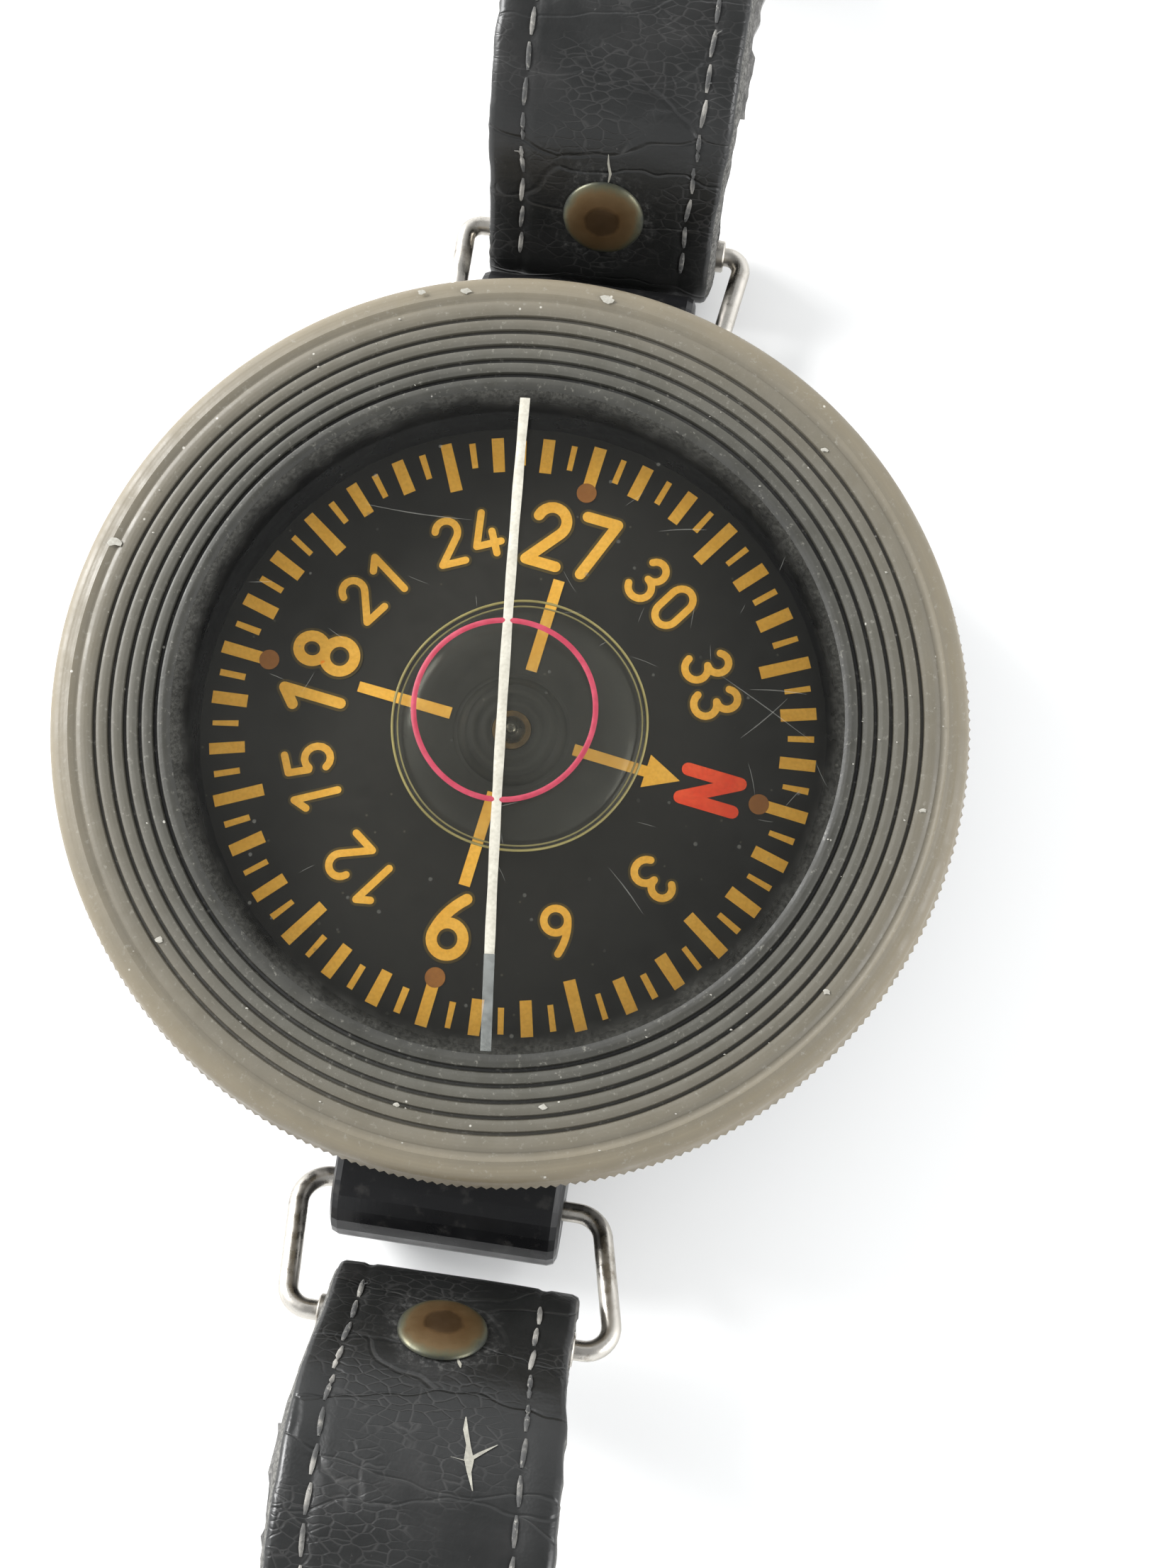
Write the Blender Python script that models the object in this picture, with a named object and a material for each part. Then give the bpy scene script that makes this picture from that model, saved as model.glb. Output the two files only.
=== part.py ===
"""Liquid-filled wrist compass on a two-piece leather strap.

Frame: metres, +Z up the compass axis, +Y along the strap towards the buckle, +X to the right.
The origin is the middle of the back plate's outer face, on the surface that the compass lies on.
"""

import math

import bmesh
import bpy
from mathutils import Matrix, Vector

MM = 0.001
TAU = 2 * math.pi

# ---- clearances ----
GAP = 0.3 * MM                # between neighbouring pieces
LAYER_GAP = 0.1 * MM          # between the two leather layers
SEAT = 0.05 * MM              # between pieces that are pressed together
TURNED_SEGMENTS = 48          # facets round a large turned piece
SMALL_SEGMENTS = 24           # facets round a small turned piece

# ---- capsule: the transparent housing that turns in the base ----
CAPSULE_RADIUS = 30.0 * MM    # over the knurled edge
CAPSULE_LAND_Z = 19.4 * MM    # flat shoulder outside the grooves
CAPSULE_WIDEST_Z = 17.0 * MM  # where the sloping shoulder meets the knurled wall
SKIRT_BOTTOM_Z = 11.2 * MM    # lower rim of the knurled skirt
SKIRT_WALL = 2.2 * MM
WINDOW_RADIUS = CAPSULE_RADIUS - 8.4 * MM    # domed window inside the grooves
DOME_RISE = 2.0 * MM
DOME_THICKNESS = 1.3 * MM
GROOVE_COUNT = 5
GROOVE_PITCH = 0.98 * MM
GROOVE_DEPTH = 0.3 * MM
GROOVE_HALF_WIDTH = 0.2 * MM
SHOULDER_RADIUS = CAPSULE_RADIUS - 1.4 * MM    # outer edge of the land

# ---- liquid chamber ----
CHAMBER_RADIUS = WINDOW_RADIUS + 0.9 * MM
CUP_WALL = 2.0 * MM
CUP_FLOOR_THICKNESS = 1.5 * MM
CUP_BOTTOM_Z = 5.5 * MM
CUP_RIM_Z = 16.0 * MM
GASKET_THICKNESS = 0.4 * MM
SPIGOT_RADIUS = CHAMBER_RADIUS - 5.5 * MM
SPIGOT_WALL = 2.5 * MM
SPIGOT_BOTTOM_Z = 1.6 * MM
FILLER_RADIUS = 1.5 * MM
FILLER_HEAD_RADIUS = 2.4 * MM
FILLER_OFFSET = 8.5 * MM

# ---- marks on the window ----
LUBBER_TURN = math.radians(5.3)    # counter-clockwise from the strap's line
LUBBER_WIDTH = 0.63 * MM
LUBBER_HALF_LENGTH = WINDOW_RADIUS - 0.6 * MM
MARK_THICKNESS = 0.15 * MM
LEVEL_RING_RADIUS = 5.75 * MM
LEVEL_RING_WIDTH = 0.37 * MM

# ---- compass card and its pivot ----
CARD_RADIUS = CHAMBER_RADIUS - 1.5 * MM
CARD_TOP_Z = 13.0 * MM
CARD_THICKNESS = 0.5 * MM
CARD_NORTH = math.radians(98.5)    # clockwise from +Y
HUB_RADIUS = 3.7 * MM
HUB_HEIGHT = 0.6 * MM
BUSH_RADIUS = 1.3 * MM
BUSH_FLANGE_RADIUS = 2.6 * MM
BUSH_BOTTOM_Z = 10.4 * MM
JEWEL_RADIUS = 0.8 * MM
JEWEL_HEIGHT = 1.0 * MM
MAGNET_LENGTH = 2 * CARD_RADIUS - 16.0 * MM
MAGNET_SIDE = 1.6 * MM
MAGNET_SPACING = 11.0 * MM
CARRIER_THICKNESS = 0.4 * MM
CARRIER_WIDTH = 5.0 * MM
POST_RADIUS = 1.6 * MM
POST_HEIGHT = 2.2 * MM
NEEDLE_RADIUS = 0.4 * MM

# ---- base ----
BASE_RADIUS = CAPSULE_RADIUS - 2.6 * MM
BASE_BOTTOM_Z = 0.3 * MM
BASE_TOP_Z = 12.6 * MM
FLANGE_THICKNESS = 1.6 * MM
BACK_PLATE_RADIUS = BASE_RADIUS - 3.1 * MM
BACK_PLATE_THICKNESS = 1.2 * MM
BACK_CAVITY_RADIUS = BACK_PLATE_RADIUS - 3.7 * MM
RETAINING_THICKNESS = 1.1 * MM
SPRING_THICKNESS = 0.25 * MM
SPRING_WAVE = 0.08 * MM
SCREW_COUNT = 4
SCREW_CIRCLE = BACK_PLATE_RADIUS - 1.8 * MM
SCREW_HEAD_RADIUS = 1.4 * MM
SCREW_SHANK_RADIUS = 0.8 * MM
SCREW_LENGTH = 3.6 * MM

# ---- lugs and wire rings ----
LUG_WIDTH = 15.6 * MM
LUG_NOSE_RADIUS = 3.8 * MM
LUG_BEVEL = 0.6 * MM
HINGE_Y = BASE_RADIUS + LUG_NOSE_RADIUS - 0.1 * MM
HINGE_Z = 4.4 * MM
WIRE_RADIUS = 0.68 * MM
WIRE_CLEARANCE = 0.25 * MM
BEND_SHARE = 0.8              # of the room beside a lug or a strap that the wire's bend takes
SLEEVE_RADIUS = 1.15 * MM
SLEEVE_BORE_CLEARANCE = 0.1 * MM
SLEEVE_OVERHANG = 0.5 * MM    # past each edge of the strap loop

# ---- straps ----
STRAP_WIDTH = 17.6 * MM
LOOP_WIDTH = 16.6 * MM        # narrowed where the strap goes round a ring
LEATHER = 1.8 * MM
LINING = 0.9 * MM
LOOP_GAP = 0.55 * MM          # the loops are roomy round the bars
LOOP_LIFT = 0.085 * MM        # of the buckle side's loop off the surface that the compass lies on
STRAP_RISE = math.radians(58.0)
TAIL_LENGTH = 11.0 * MM
TAIL_MEETS = SLEEVE_RADIUS + LEATHER + 0.45 * MM    # from a bar to where the folded-back tail meets the strap
WIDEN_LENGTH = 10.0 * MM
RIVET_CAP_RADIUS = 2.9 * MM
RIVET_CAP_HEIGHT = 0.9 * MM
RIVET_SHANK_RADIUS = 0.8 * MM
RIVET_FOOT_RADIUS = 1.15 * MM
RIVET_FOOT_THICKNESS = 0.5 * MM
RIVET_FROM_BAR = TAIL_MEETS + RIVET_FOOT_RADIUS + SEAT

# ---- strap ends ----
PUNCH_COUNT = 6
PUNCH_PITCH = 8.0 * MM
PUNCH_RADIUS = 1.2 * MM
PUNCH_FROM_TIP = 14.0 * MM
TIP_LENGTH = 9.0 * MM
BUCKLE_WIRE_RADIUS = 0.8 * MM
BUCKLE_LENGTH = 11.0 * MM
BUCKLE_SIDE_CLEARANCE = 0.6 * MM
BUCKLE_CORNER = 1.5 * MM
PRONG_RADIUS = 0.65 * MM
PRONG_SLOT_CLEARANCE = 0.5 * MM
KEEPER_LENGTH = 5.0 * MM
KEEPER_THICKNESS = 1.1 * MM
KEEPER_CLEARANCE = 0.4 * MM
FIXED_KEEPER_FROM_BAR = 9.0 * MM
SLIDING_KEEPER_FROM_BAR = 22.0 * MM


class Side:
    """One side of the compass: its wire ring and its strap, with +Y pointing away from the dial."""

    def __init__(self, name, turn, ring_angle, ring_length, ring_width, skew, straight, crest_radius,
                 fall, foot_radius, flat, drift):
        self.name = name
        self.turn = turn                  # about Z, from +Y
        self.ring_angle = ring_angle      # of the ring above the horizontal, at rest
        self.ring_length = ring_length    # between the wire's two bars, centre to centre
        self.ring_width = ring_width      # over the wire, at the strap's bar
        self.skew = skew                  # how far wear has pulled the strap's bar sideways
        self.straight = straight          # flat stretch that rises from the ring
        self.crest_radius = crest_radius  # bend over the top of the arch
        self.fall = fall                  # steepest slope of the far side of the arch
        self.foot_radius = foot_radius    # bend back to the flat
        self.flat = flat                  # flat stretch that lies on the surface
        self.drift = drift                # how far the strap wanders sideways


BUCKLE_RING_LENGTH = 7.8 * MM
BUCKLE_BAR_Z = SLEEVE_RADIUS + LOOP_GAP + LEATHER + LOOP_LIFT
BUCKLE_RING_ANGLE = math.asin((BUCKLE_BAR_Z - HINGE_Z) / BUCKLE_RING_LENGTH)
BUCKLE_SIDE = Side("buckle", 0.0, BUCKLE_RING_ANGLE, BUCKLE_RING_LENGTH, 22.0 * MM, 0.5 * MM,
                   5.5 * MM, 14.5 * MM, math.radians(40.0), 14.0 * MM, 32.0 * MM, 0.0)
HOLES_SIDE = Side("holes", math.pi, math.radians(27.0), 9.6 * MM, 23.4 * MM, -1.6 * MM,
                  5.5 * MM, 16.0 * MM, math.radians(46.0), 18.0 * MM, 62.0 * MM, -1.9 * MM)


# ---------------------------------------------------------------- helpers

def clear_scene():
    for obj in list(bpy.data.objects):
        bpy.data.objects.remove(obj, do_unlink=True)


def material(name, colour, roughness, metallic=0.0):
    found = bpy.data.materials.get(name)
    if found:
        return found
    made = bpy.data.materials.new(name)
    made.use_nodes = True
    shader = made.node_tree.nodes["Principled BSDF"]
    shader.inputs["Base Color"].default_value = (*colour, 1.0)
    shader.inputs["Roughness"].default_value = roughness
    shader.inputs["Metallic"].default_value = metallic
    return made


def acrylic():
    return material("aged_acrylic", (0.42, 0.38, 0.31), 0.35)


def bakelite():
    return material("black_bakelite", (0.015, 0.014, 0.013), 0.3)


def steel():
    return material("nickel_steel", (0.55, 0.52, 0.47), 0.3, 1.0)


def brass():
    return material("brown_brass", (0.28, 0.16, 0.07), 0.4, 1.0)


def leather():
    return material("black_leather", (0.012, 0.012, 0.013), 0.45)


def suede():
    return material("grey_suede", (0.09, 0.085, 0.08), 0.9)


def add_object(name, mesh, surface, parent=None, place=None):
    """Adds the mesh, drawn in its parent's frame, as an object whose origin is at place."""
    obj = bpy.data.objects.new(name, mesh)
    bpy.context.scene.collection.objects.link(obj)
    obj.data.materials.append(surface)
    obj.parent = parent
    if place is not None:
        mesh.transform(Matrix.Translation(-Vector(place)))
        obj.location = place
    return obj


def add_empty(name, parent=None, location=(0, 0, 0), rotation=(0, 0, 0)):
    empty = bpy.data.objects.new(name, None)
    bpy.context.scene.collection.objects.link(empty)
    empty.parent = parent
    empty.location = location
    empty.rotation_euler = rotation
    return empty


def finished(bm, name, smooth_angle=math.radians(35)):
    bmesh.ops.remove_doubles(bm, verts=bm.verts, dist=1e-7)
    bmesh.ops.recalc_face_normals(bm, faces=bm.faces)
    mesh = bpy.data.meshes.new(name)
    bm.to_mesh(mesh)
    bm.free()
    mesh.shade_smooth()
    mesh.set_sharp_from_angle(angle=smooth_angle)
    return mesh


def turned(name, outline, segments=TURNED_SEGMENTS, centre=(0.0, 0.0)):
    """A solid of revolution about Z from a closed outline of (radius, z) points."""
    bm = bmesh.new()
    verts = [bm.verts.new((r, 0.0, z)) for r, z in outline]
    edges = [bm.edges.new((a, b)) for a, b in zip(verts, verts[1:] + verts[:1])
             if not (a.co.x < 1e-9 and b.co.x < 1e-9)]
    bmesh.ops.spin(bm, geom=verts + edges, cent=(0, 0, 0), axis=(0, 0, 1), angle=TAU,
                   steps=segments, use_merge=True, use_duplicate=False)
    bmesh.ops.translate(bm, verts=bm.verts, vec=(centre[0], centre[1], 0.0))
    return finished(bm, name)


def tube(name, inner, outer, bottom, top, segments=TURNED_SEGMENTS, centre=(0.0, 0.0)):
    outline = [(inner, top), (outer, top), (outer, bottom), (inner, bottom)]
    return turned(name, outline, segments, centre)


def disc(name, radius, bottom, top, segments=SMALL_SEGMENTS, centre=(0.0, 0.0)):
    outline = [(0.0, top), (radius, top), (radius, bottom), (0.0, bottom)]
    return turned(name, outline, segments, centre)


def box(name, low, high):
    bm = bmesh.new()
    bmesh.ops.create_cube(bm, size=1.0)
    size = Vector(high) - Vector(low)
    middle = (Vector(high) + Vector(low)) / 2
    bmesh.ops.transform(bm, verts=bm.verts, matrix=Matrix.Translation(middle) @ Matrix.Diagonal((*size, 1.0)))
    return finished(bm, name)


def rod_x(name, radius, half_length, y, z, segments=SMALL_SEGMENTS):
    """A cylinder along X."""
    bm = bmesh.new()
    spun = Matrix.Translation((0, y, z)) @ Matrix.Rotation(math.pi / 2, 4, "Y")
    bmesh.ops.create_cone(bm, cap_ends=True, segments=segments, radius1=radius, radius2=radius,
                          depth=2 * half_length, matrix=spun)
    return finished(bm, name)


def helper(name, mesh, parent=None):
    """A shape that only cuts or joins another one."""
    obj = add_object(name, mesh, bakelite(), parent)
    obj.hide_render = True
    obj.display_type = "WIRE"
    return obj


def boolean(obj, other, operation="DIFFERENCE"):
    modifier = obj.modifiers.new(operation.lower() + "_" + other.name, "BOOLEAN")
    modifier.operation = operation
    modifier.object = other
    modifier.solver = "EXACT"


def extruded_x(name, outline, half_width):
    """A prism along X from a closed outline of (y, z) points."""
    bm = bmesh.new()
    face = bm.faces.new([bm.verts.new((-half_width, y, z)) for y, z in outline])
    grown = bmesh.ops.extrude_face_region(bm, geom=[face])
    moved = [v for v in grown["geom"] if isinstance(v, bmesh.types.BMVert)]
    bmesh.ops.translate(bm, verts=moved, vec=(2 * half_width, 0, 0))
    return finished(bm, name)


def arc(centre, radius, start, end, steps):
    """Points on a circular arc, angles counter-clockwise from the first axis, both ends included."""
    return [(centre[0] + radius * math.cos(start + (end - start) * i / steps),
             centre[1] + radius * math.sin(start + (end - start) * i / steps))
            for i in range(steps + 1)]


# ---------------------------------------------------------------- capsule

def dome_radius():
    return (WINDOW_RADIUS ** 2 + DOME_RISE ** 2) / (2 * DOME_RISE)


def dome_z(r, depth=0.0):
    """Height of the window's outer face at radius r, or of the face that lies depth below it."""
    window_edge_z = CAPSULE_LAND_Z + 0.2 * MM
    ball = dome_radius()
    return window_edge_z + DOME_RISE - ball + math.sqrt((ball - depth) ** 2 - r ** 2)


def capsule_window_outline():
    """Outer face of the transparent housing, from the top of the dome to the knurled wall."""
    dome = [(WINDOW_RADIUS * i / 5, dome_z(WINDOW_RADIUS * i / 5)) for i in range(6)]
    ridge_z = CAPSULE_LAND_Z + 0.2 * MM
    grooves = []
    for i in range(GROOVE_COUNT):
        r = WINDOW_RADIUS + (i + 1) * GROOVE_PITCH
        grooves += [(r - GROOVE_HALF_WIDTH, ridge_z), (r, ridge_z - GROOVE_DEPTH),
                    (r + GROOVE_HALF_WIDTH, ridge_z)]
    edge = CAPSULE_RADIUS - 0.4 * MM
    round_over = edge - SHOULDER_RADIUS
    shoulder = arc((SHOULDER_RADIUS, CAPSULE_LAND_Z - round_over), round_over, math.pi / 2, 0.0, 3)
    return dome + grooves + shoulder + [(CAPSULE_RADIUS, CAPSULE_WIDEST_Z)]


def capsule_housing(axis):
    rim = 0.3 * MM
    skirt_inner = CAPSULE_RADIUS - SKIRT_WALL
    collar = CHAMBER_RADIUS + CUP_WALL + GAP
    ceiling = CUP_RIM_Z + GASKET_THICKNESS + 0.2 * MM
    underside = BASE_TOP_Z + 1.6 * MM
    chamber_top = ceiling + 1.0 * MM
    inner_edge = WINDOW_RADIUS - 0.4 * MM
    skirt = [(CAPSULE_RADIUS, SKIRT_BOTTOM_Z + rim), (CAPSULE_RADIUS - rim, SKIRT_BOTTOM_Z),
             (skirt_inner, SKIRT_BOTTOM_Z), (skirt_inner, underside), (collar, underside),
             (collar, ceiling), (CHAMBER_RADIUS, ceiling), (CHAMBER_RADIUS, chamber_top)]
    inside = [(inner_edge * i / 3, dome_z(inner_edge * i / 3, DOME_THICKNESS)) for i in range(3, -1, -1)]
    mesh = turned("capsule_housing", capsule_window_outline() + skirt + inside)
    add_object("capsule_housing", mesh, acrylic(), axis)


def capsule_cup(axis):
    """Lower half of the liquid chamber, with the spigot that turns in the base."""
    outer = CHAMBER_RADIUS + CUP_WALL
    floor_z = CUP_BOTTOM_Z + CUP_FLOOR_THICKNESS
    outline = [(0.0, floor_z), (CHAMBER_RADIUS, floor_z), (CHAMBER_RADIUS, CUP_RIM_Z),
               (outer, CUP_RIM_Z), (outer, CUP_BOTTOM_Z), (SPIGOT_RADIUS, CUP_BOTTOM_Z),
               (SPIGOT_RADIUS, SPIGOT_BOTTOM_Z), (SPIGOT_RADIUS - SPIGOT_WALL, SPIGOT_BOTTOM_Z),
               (SPIGOT_RADIUS - SPIGOT_WALL, CUP_BOTTOM_Z), (0.0, CUP_BOTTOM_Z)]
    cup = add_object("capsule_cup", turned("capsule_cup", outline), bakelite(), axis)
    hole = disc("filler_hole", FILLER_RADIUS + GAP / 2, CUP_BOTTOM_Z - 1 * MM, floor_z + 1 * MM,
                centre=(FILLER_OFFSET, 0.0))
    boolean(cup, helper("filler_hole", hole, axis))


def capsule_gasket(axis):
    mesh = tube("capsule_gasket", CHAMBER_RADIUS + 0.2 * MM, CHAMBER_RADIUS + CUP_WALL - 0.2 * MM,
                CUP_RIM_Z + 0.1 * MM, CUP_RIM_Z + 0.1 * MM + GASKET_THICKNESS)
    add_object("capsule_gasket", mesh, material("black_rubber", (0.02, 0.02, 0.02), 0.8), axis)


def filler_plug(axis):
    """Screw plug that closes the filling hole, and its sealing washer."""
    washer_top = CUP_BOTTOM_Z - 0.05 * MM
    washer_bottom = washer_top - 0.4 * MM
    head_top = washer_bottom - 0.05 * MM
    head_bottom = head_top - 1.0 * MM
    plug_top = CUP_BOTTOM_Z + CUP_FLOOR_THICKNESS - 0.2 * MM
    washer = tube("filler_washer", FILLER_RADIUS + GAP / 2, FILLER_HEAD_RADIUS, washer_bottom, washer_top,
                  SMALL_SEGMENTS, (FILLER_OFFSET, 0.0))
    add_object("filler_washer", washer, material("red_fibre", (0.25, 0.06, 0.04), 0.8), axis)
    outline = [(0.0, plug_top), (FILLER_RADIUS, plug_top), (FILLER_RADIUS, head_top),
               (FILLER_HEAD_RADIUS, head_top), (FILLER_HEAD_RADIUS, head_bottom), (0.0, head_bottom)]
    plug = turned("filler_plug", outline, SMALL_SEGMENTS, (FILLER_OFFSET, 0.0))
    plug = add_object("filler_plug", plug, brass(), axis)
    slot = box("filler_slot", (FILLER_OFFSET - 3 * MM, -0.3 * MM, head_bottom - 1 * MM),
               (FILLER_OFFSET + 3 * MM, 0.3 * MM, head_bottom + 0.4 * MM))
    boolean(plug, helper("filler_slot", slot, axis))


def lubber_line(axis):
    """White line across the window, on the underside of the dome."""
    steps = 24
    bm = bmesh.new()
    sections = []
    for i in range(steps + 1):
        y = LUBBER_HALF_LENGTH * (2 * i / steps - 1)
        top = dome_z(abs(y), DOME_THICKNESS) - 0.1 * MM
        corners = ((-1, 0), (1, 0), (1, -1), (-1, -1))
        sections.append([bm.verts.new((sx * LUBBER_WIDTH / 2, y, top + sz * MARK_THICKNESS))
                         for sx, sz in corners])
    join_sections(bm, sections)
    mesh = finished(bm, "lubber_line")
    mesh.transform(Matrix.Rotation(LUBBER_TURN, 4, "Z"))
    add_object("lubber_line", mesh, material("white_paint", (0.8, 0.78, 0.72), 0.5), axis)


def join_sections(bm, sections):
    """Joins a row of equal rings of vertices into a closed tube with flat ends."""
    for a, b in zip(sections, sections[1:]):
        for i in range(len(a)):
            j = (i + 1) % len(a)
            bm.faces.new((a[i], a[j], b[j], b[i]))
    bm.faces.new(sections[0][::-1])
    bm.faces.new(sections[-1])


def level_ring(axis):
    """Red circle in the middle of the window, just under the white line."""
    mid = dome_z(LEVEL_RING_RADIUS, DOME_THICKNESS) - 0.45 * MM
    half_width = LEVEL_RING_WIDTH / 2
    mesh = tube("level_ring", LEVEL_RING_RADIUS - half_width, LEVEL_RING_RADIUS + half_width,
                mid - MARK_THICKNESS / 2, mid + MARK_THICKNESS / 2)
    add_object("level_ring", mesh, material("red_paint", (0.55, 0.03, 0.07), 0.4), axis)


# ---------------------------------------------------------------- pivot and card

def pivot(axis):
    """Brass post on the floor of the cup, and the steel needle that the card turns on."""
    floor_z = CUP_BOTTOM_Z + CUP_FLOOR_THICKNESS + SEAT
    foot_top = floor_z + 0.6 * MM
    post_top = floor_z + POST_HEIGHT
    bore = NEEDLE_RADIUS + SEAT
    bore_bottom = floor_z + 1.0 * MM
    outline = [(bore, post_top), (POST_RADIUS, post_top), (POST_RADIUS, foot_top),
               (2 * POST_RADIUS, foot_top), (2 * POST_RADIUS, floor_z), (0.0, floor_z),
               (0.0, bore_bottom), (bore, bore_bottom)]
    add_object("pivot_post", turned("pivot_post", outline, SMALL_SEGMENTS), brass(), axis)
    tip_z = jewel_bottom() + 0.4 * MM
    needle = [(0.0, tip_z), (NEEDLE_RADIUS, tip_z - 0.8 * MM), (NEEDLE_RADIUS, bore_bottom + SEAT),
              (0.0, bore_bottom + SEAT)]
    add_object("pivot_needle", turned("pivot_needle", needle, 16), steel(), axis)


def card_bottom():
    return CARD_TOP_Z - CARD_THICKNESS


def flange_top():
    return card_bottom() - SEAT - CARRIER_THICKNESS - SEAT


def jewel_bottom():
    return BUSH_BOTTOM_Z + 0.7 * MM


def compass_card(axis):
    """Round card with a raised hub, in its own frame with north along +Y."""
    hole = BUSH_RADIUS + SEAT
    hub_top = CARD_TOP_Z + HUB_HEIGHT
    outline = [(hole, hub_top), (HUB_RADIUS - HUB_HEIGHT, hub_top), (HUB_RADIUS, CARD_TOP_Z),
               (CARD_RADIUS, CARD_TOP_Z), (CARD_RADIUS, card_bottom()), (hole, card_bottom())]
    surface = material("black_card", (0.01, 0.01, 0.01), 0.6)
    add_object("compass_card", turned("compass_card", outline), surface, axis)


def card_bush(axis):
    """Brass bush through the hub, and the jewel cup inside it."""
    bore = JEWEL_RADIUS + SEAT
    bore_top = jewel_bottom() + JEWEL_HEIGHT + SEAT
    top = CARD_TOP_Z + HUB_HEIGHT + 0.15 * MM
    flange_bottom = flange_top() - 0.5 * MM
    nose = BUSH_RADIUS + 0.4 * MM
    outline = [(0.0, top), (BUSH_RADIUS, top), (BUSH_RADIUS, flange_top()),
               (BUSH_FLANGE_RADIUS, flange_top()), (BUSH_FLANGE_RADIUS, flange_bottom),
               (nose, flange_bottom), (nose, BUSH_BOTTOM_Z), (bore, BUSH_BOTTOM_Z), (bore, bore_top),
               (0.0, bore_top)]
    add_object("card_bush", turned("card_bush", outline, SMALL_SEGMENTS), brass(), axis)
    low = jewel_bottom()
    cup = [(0.0, low + JEWEL_HEIGHT), (JEWEL_RADIUS, low + JEWEL_HEIGHT), (JEWEL_RADIUS, low),
           (JEWEL_RADIUS - 0.15 * MM, low), (0.0, low + 0.5 * MM)]
    jewel = material("sapphire", (0.35, 0.05, 0.12), 0.1)
    add_object("jewel_cup", turned("jewel_cup", cup, 16), jewel, axis)


def magnets(axis):
    """Two bar magnets under the card, parallel to its north line, on a brass carrier."""
    carrier_top = card_bottom() - SEAT
    carrier_bottom = carrier_top - CARRIER_THICKNESS
    reach = MAGNET_SPACING / 2 + MAGNET_SIDE
    carrier = add_object("magnet_carrier", box("magnet_carrier", (-reach, -CARRIER_WIDTH / 2, carrier_bottom),
                         (reach, CARRIER_WIDTH / 2, carrier_top)), brass(), axis)
    hole = disc("carrier_hole", BUSH_RADIUS + SEAT, carrier_bottom - 1 * MM, carrier_top + 1 * MM)
    boolean(carrier, helper("carrier_hole", hole, axis))
    surface = material("magnet_steel", (0.12, 0.12, 0.13), 0.4, 1.0)
    top = carrier_bottom - SEAT
    for name, side in (("magnet_left", -1), ("magnet_right", 1)):
        x = side * MAGNET_SPACING / 2
        bar = box(name, (x - MAGNET_SIDE / 2, -MAGNET_LENGTH / 2, top - MAGNET_SIDE),
                  (x + MAGNET_SIDE / 2, MAGNET_LENGTH / 2, top))
        add_object(name, bar, surface, axis)


# ---------------------------------------------------------------- base

def flange_z():
    """Lower and upper face of the flange that carries the capsule."""
    top = CUP_BOTTOM_Z - GAP
    return top - FLANGE_THICKNESS, top


def lug_outline():
    """Side view of a lug: a block with a round nose about the wire's hole, from inside the base's wall."""
    nose = arc((HINGE_Y, HINGE_Z), LUG_NOSE_RADIUS, -math.pi / 2, math.pi / 2, 12)
    root = BASE_RADIUS - 1.4 * MM
    return [(root, HINGE_Z - LUG_NOSE_RADIUS)] + nose + [(root, HINGE_Z + LUG_NOSE_RADIUS)]


def screw_places():
    angles = [math.pi / 4 + TAU * i / SCREW_COUNT for i in range(SCREW_COUNT)]
    return [(SCREW_CIRCLE * math.cos(a), SCREW_CIRCLE * math.sin(a)) for a in angles]


def base_body():
    """Moulded base: a ring with an inner flange, and a lug on each side for the wire rings."""
    bore = CHAMBER_RADIUS + CUP_WALL + GAP
    flange_bottom, flange_upper = flange_z()
    flange_bore = SPIGOT_RADIUS + GAP
    plate_seat = BACK_PLATE_THICKNESS + GAP
    recess = BACK_PLATE_RADIUS + GAP
    edge = 0.6 * MM
    outline = [(bore, BASE_TOP_Z), (BASE_RADIUS - edge / 2, BASE_TOP_Z), (BASE_RADIUS, BASE_TOP_Z - edge / 2),
               (BASE_RADIUS, BASE_BOTTOM_Z + edge), (BASE_RADIUS - edge, BASE_BOTTOM_Z),
               (recess, BASE_BOTTOM_Z), (recess, plate_seat), (BACK_CAVITY_RADIUS, plate_seat),
               (BACK_CAVITY_RADIUS, flange_bottom), (flange_bore, flange_bottom),
               (flange_bore, flange_upper), (bore, flange_upper)]
    base = add_object("base_body", turned("base_body", outline), bakelite())
    for side, turn in (("buckle", 0.0), ("holes", math.pi)):
        mesh = extruded_x("lug_" + side, lug_outline(), LUG_WIDTH / 2)
        mesh.transform(Matrix.Rotation(turn, 4, "Z"))
        lug = helper("lug_" + side, mesh)
        bevel = lug.modifiers.new("bevel", "BEVEL")
        bevel.width = LUG_BEVEL
        bevel.segments = 2
        bevel.angle_limit = math.radians(40)
        boolean(base, lug, "UNION")
        hole = rod_x("lug_hole_" + side, WIRE_RADIUS + WIRE_CLEARANCE, LUG_WIDTH, HINGE_Y, HINGE_Z)
        hole.transform(Matrix.Rotation(turn, 4, "Z"))
        boolean(base, helper("lug_hole_" + side, hole))
    for i, place in enumerate(screw_places()):
        hole = disc(f"base_screw_hole_{i}", SCREW_SHANK_RADIUS + SEAT, 0.0, SCREW_LENGTH + 0.3 * MM,
                    16, place)
        boolean(base, helper(f"base_screw_hole_{i}", hole))


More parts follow.
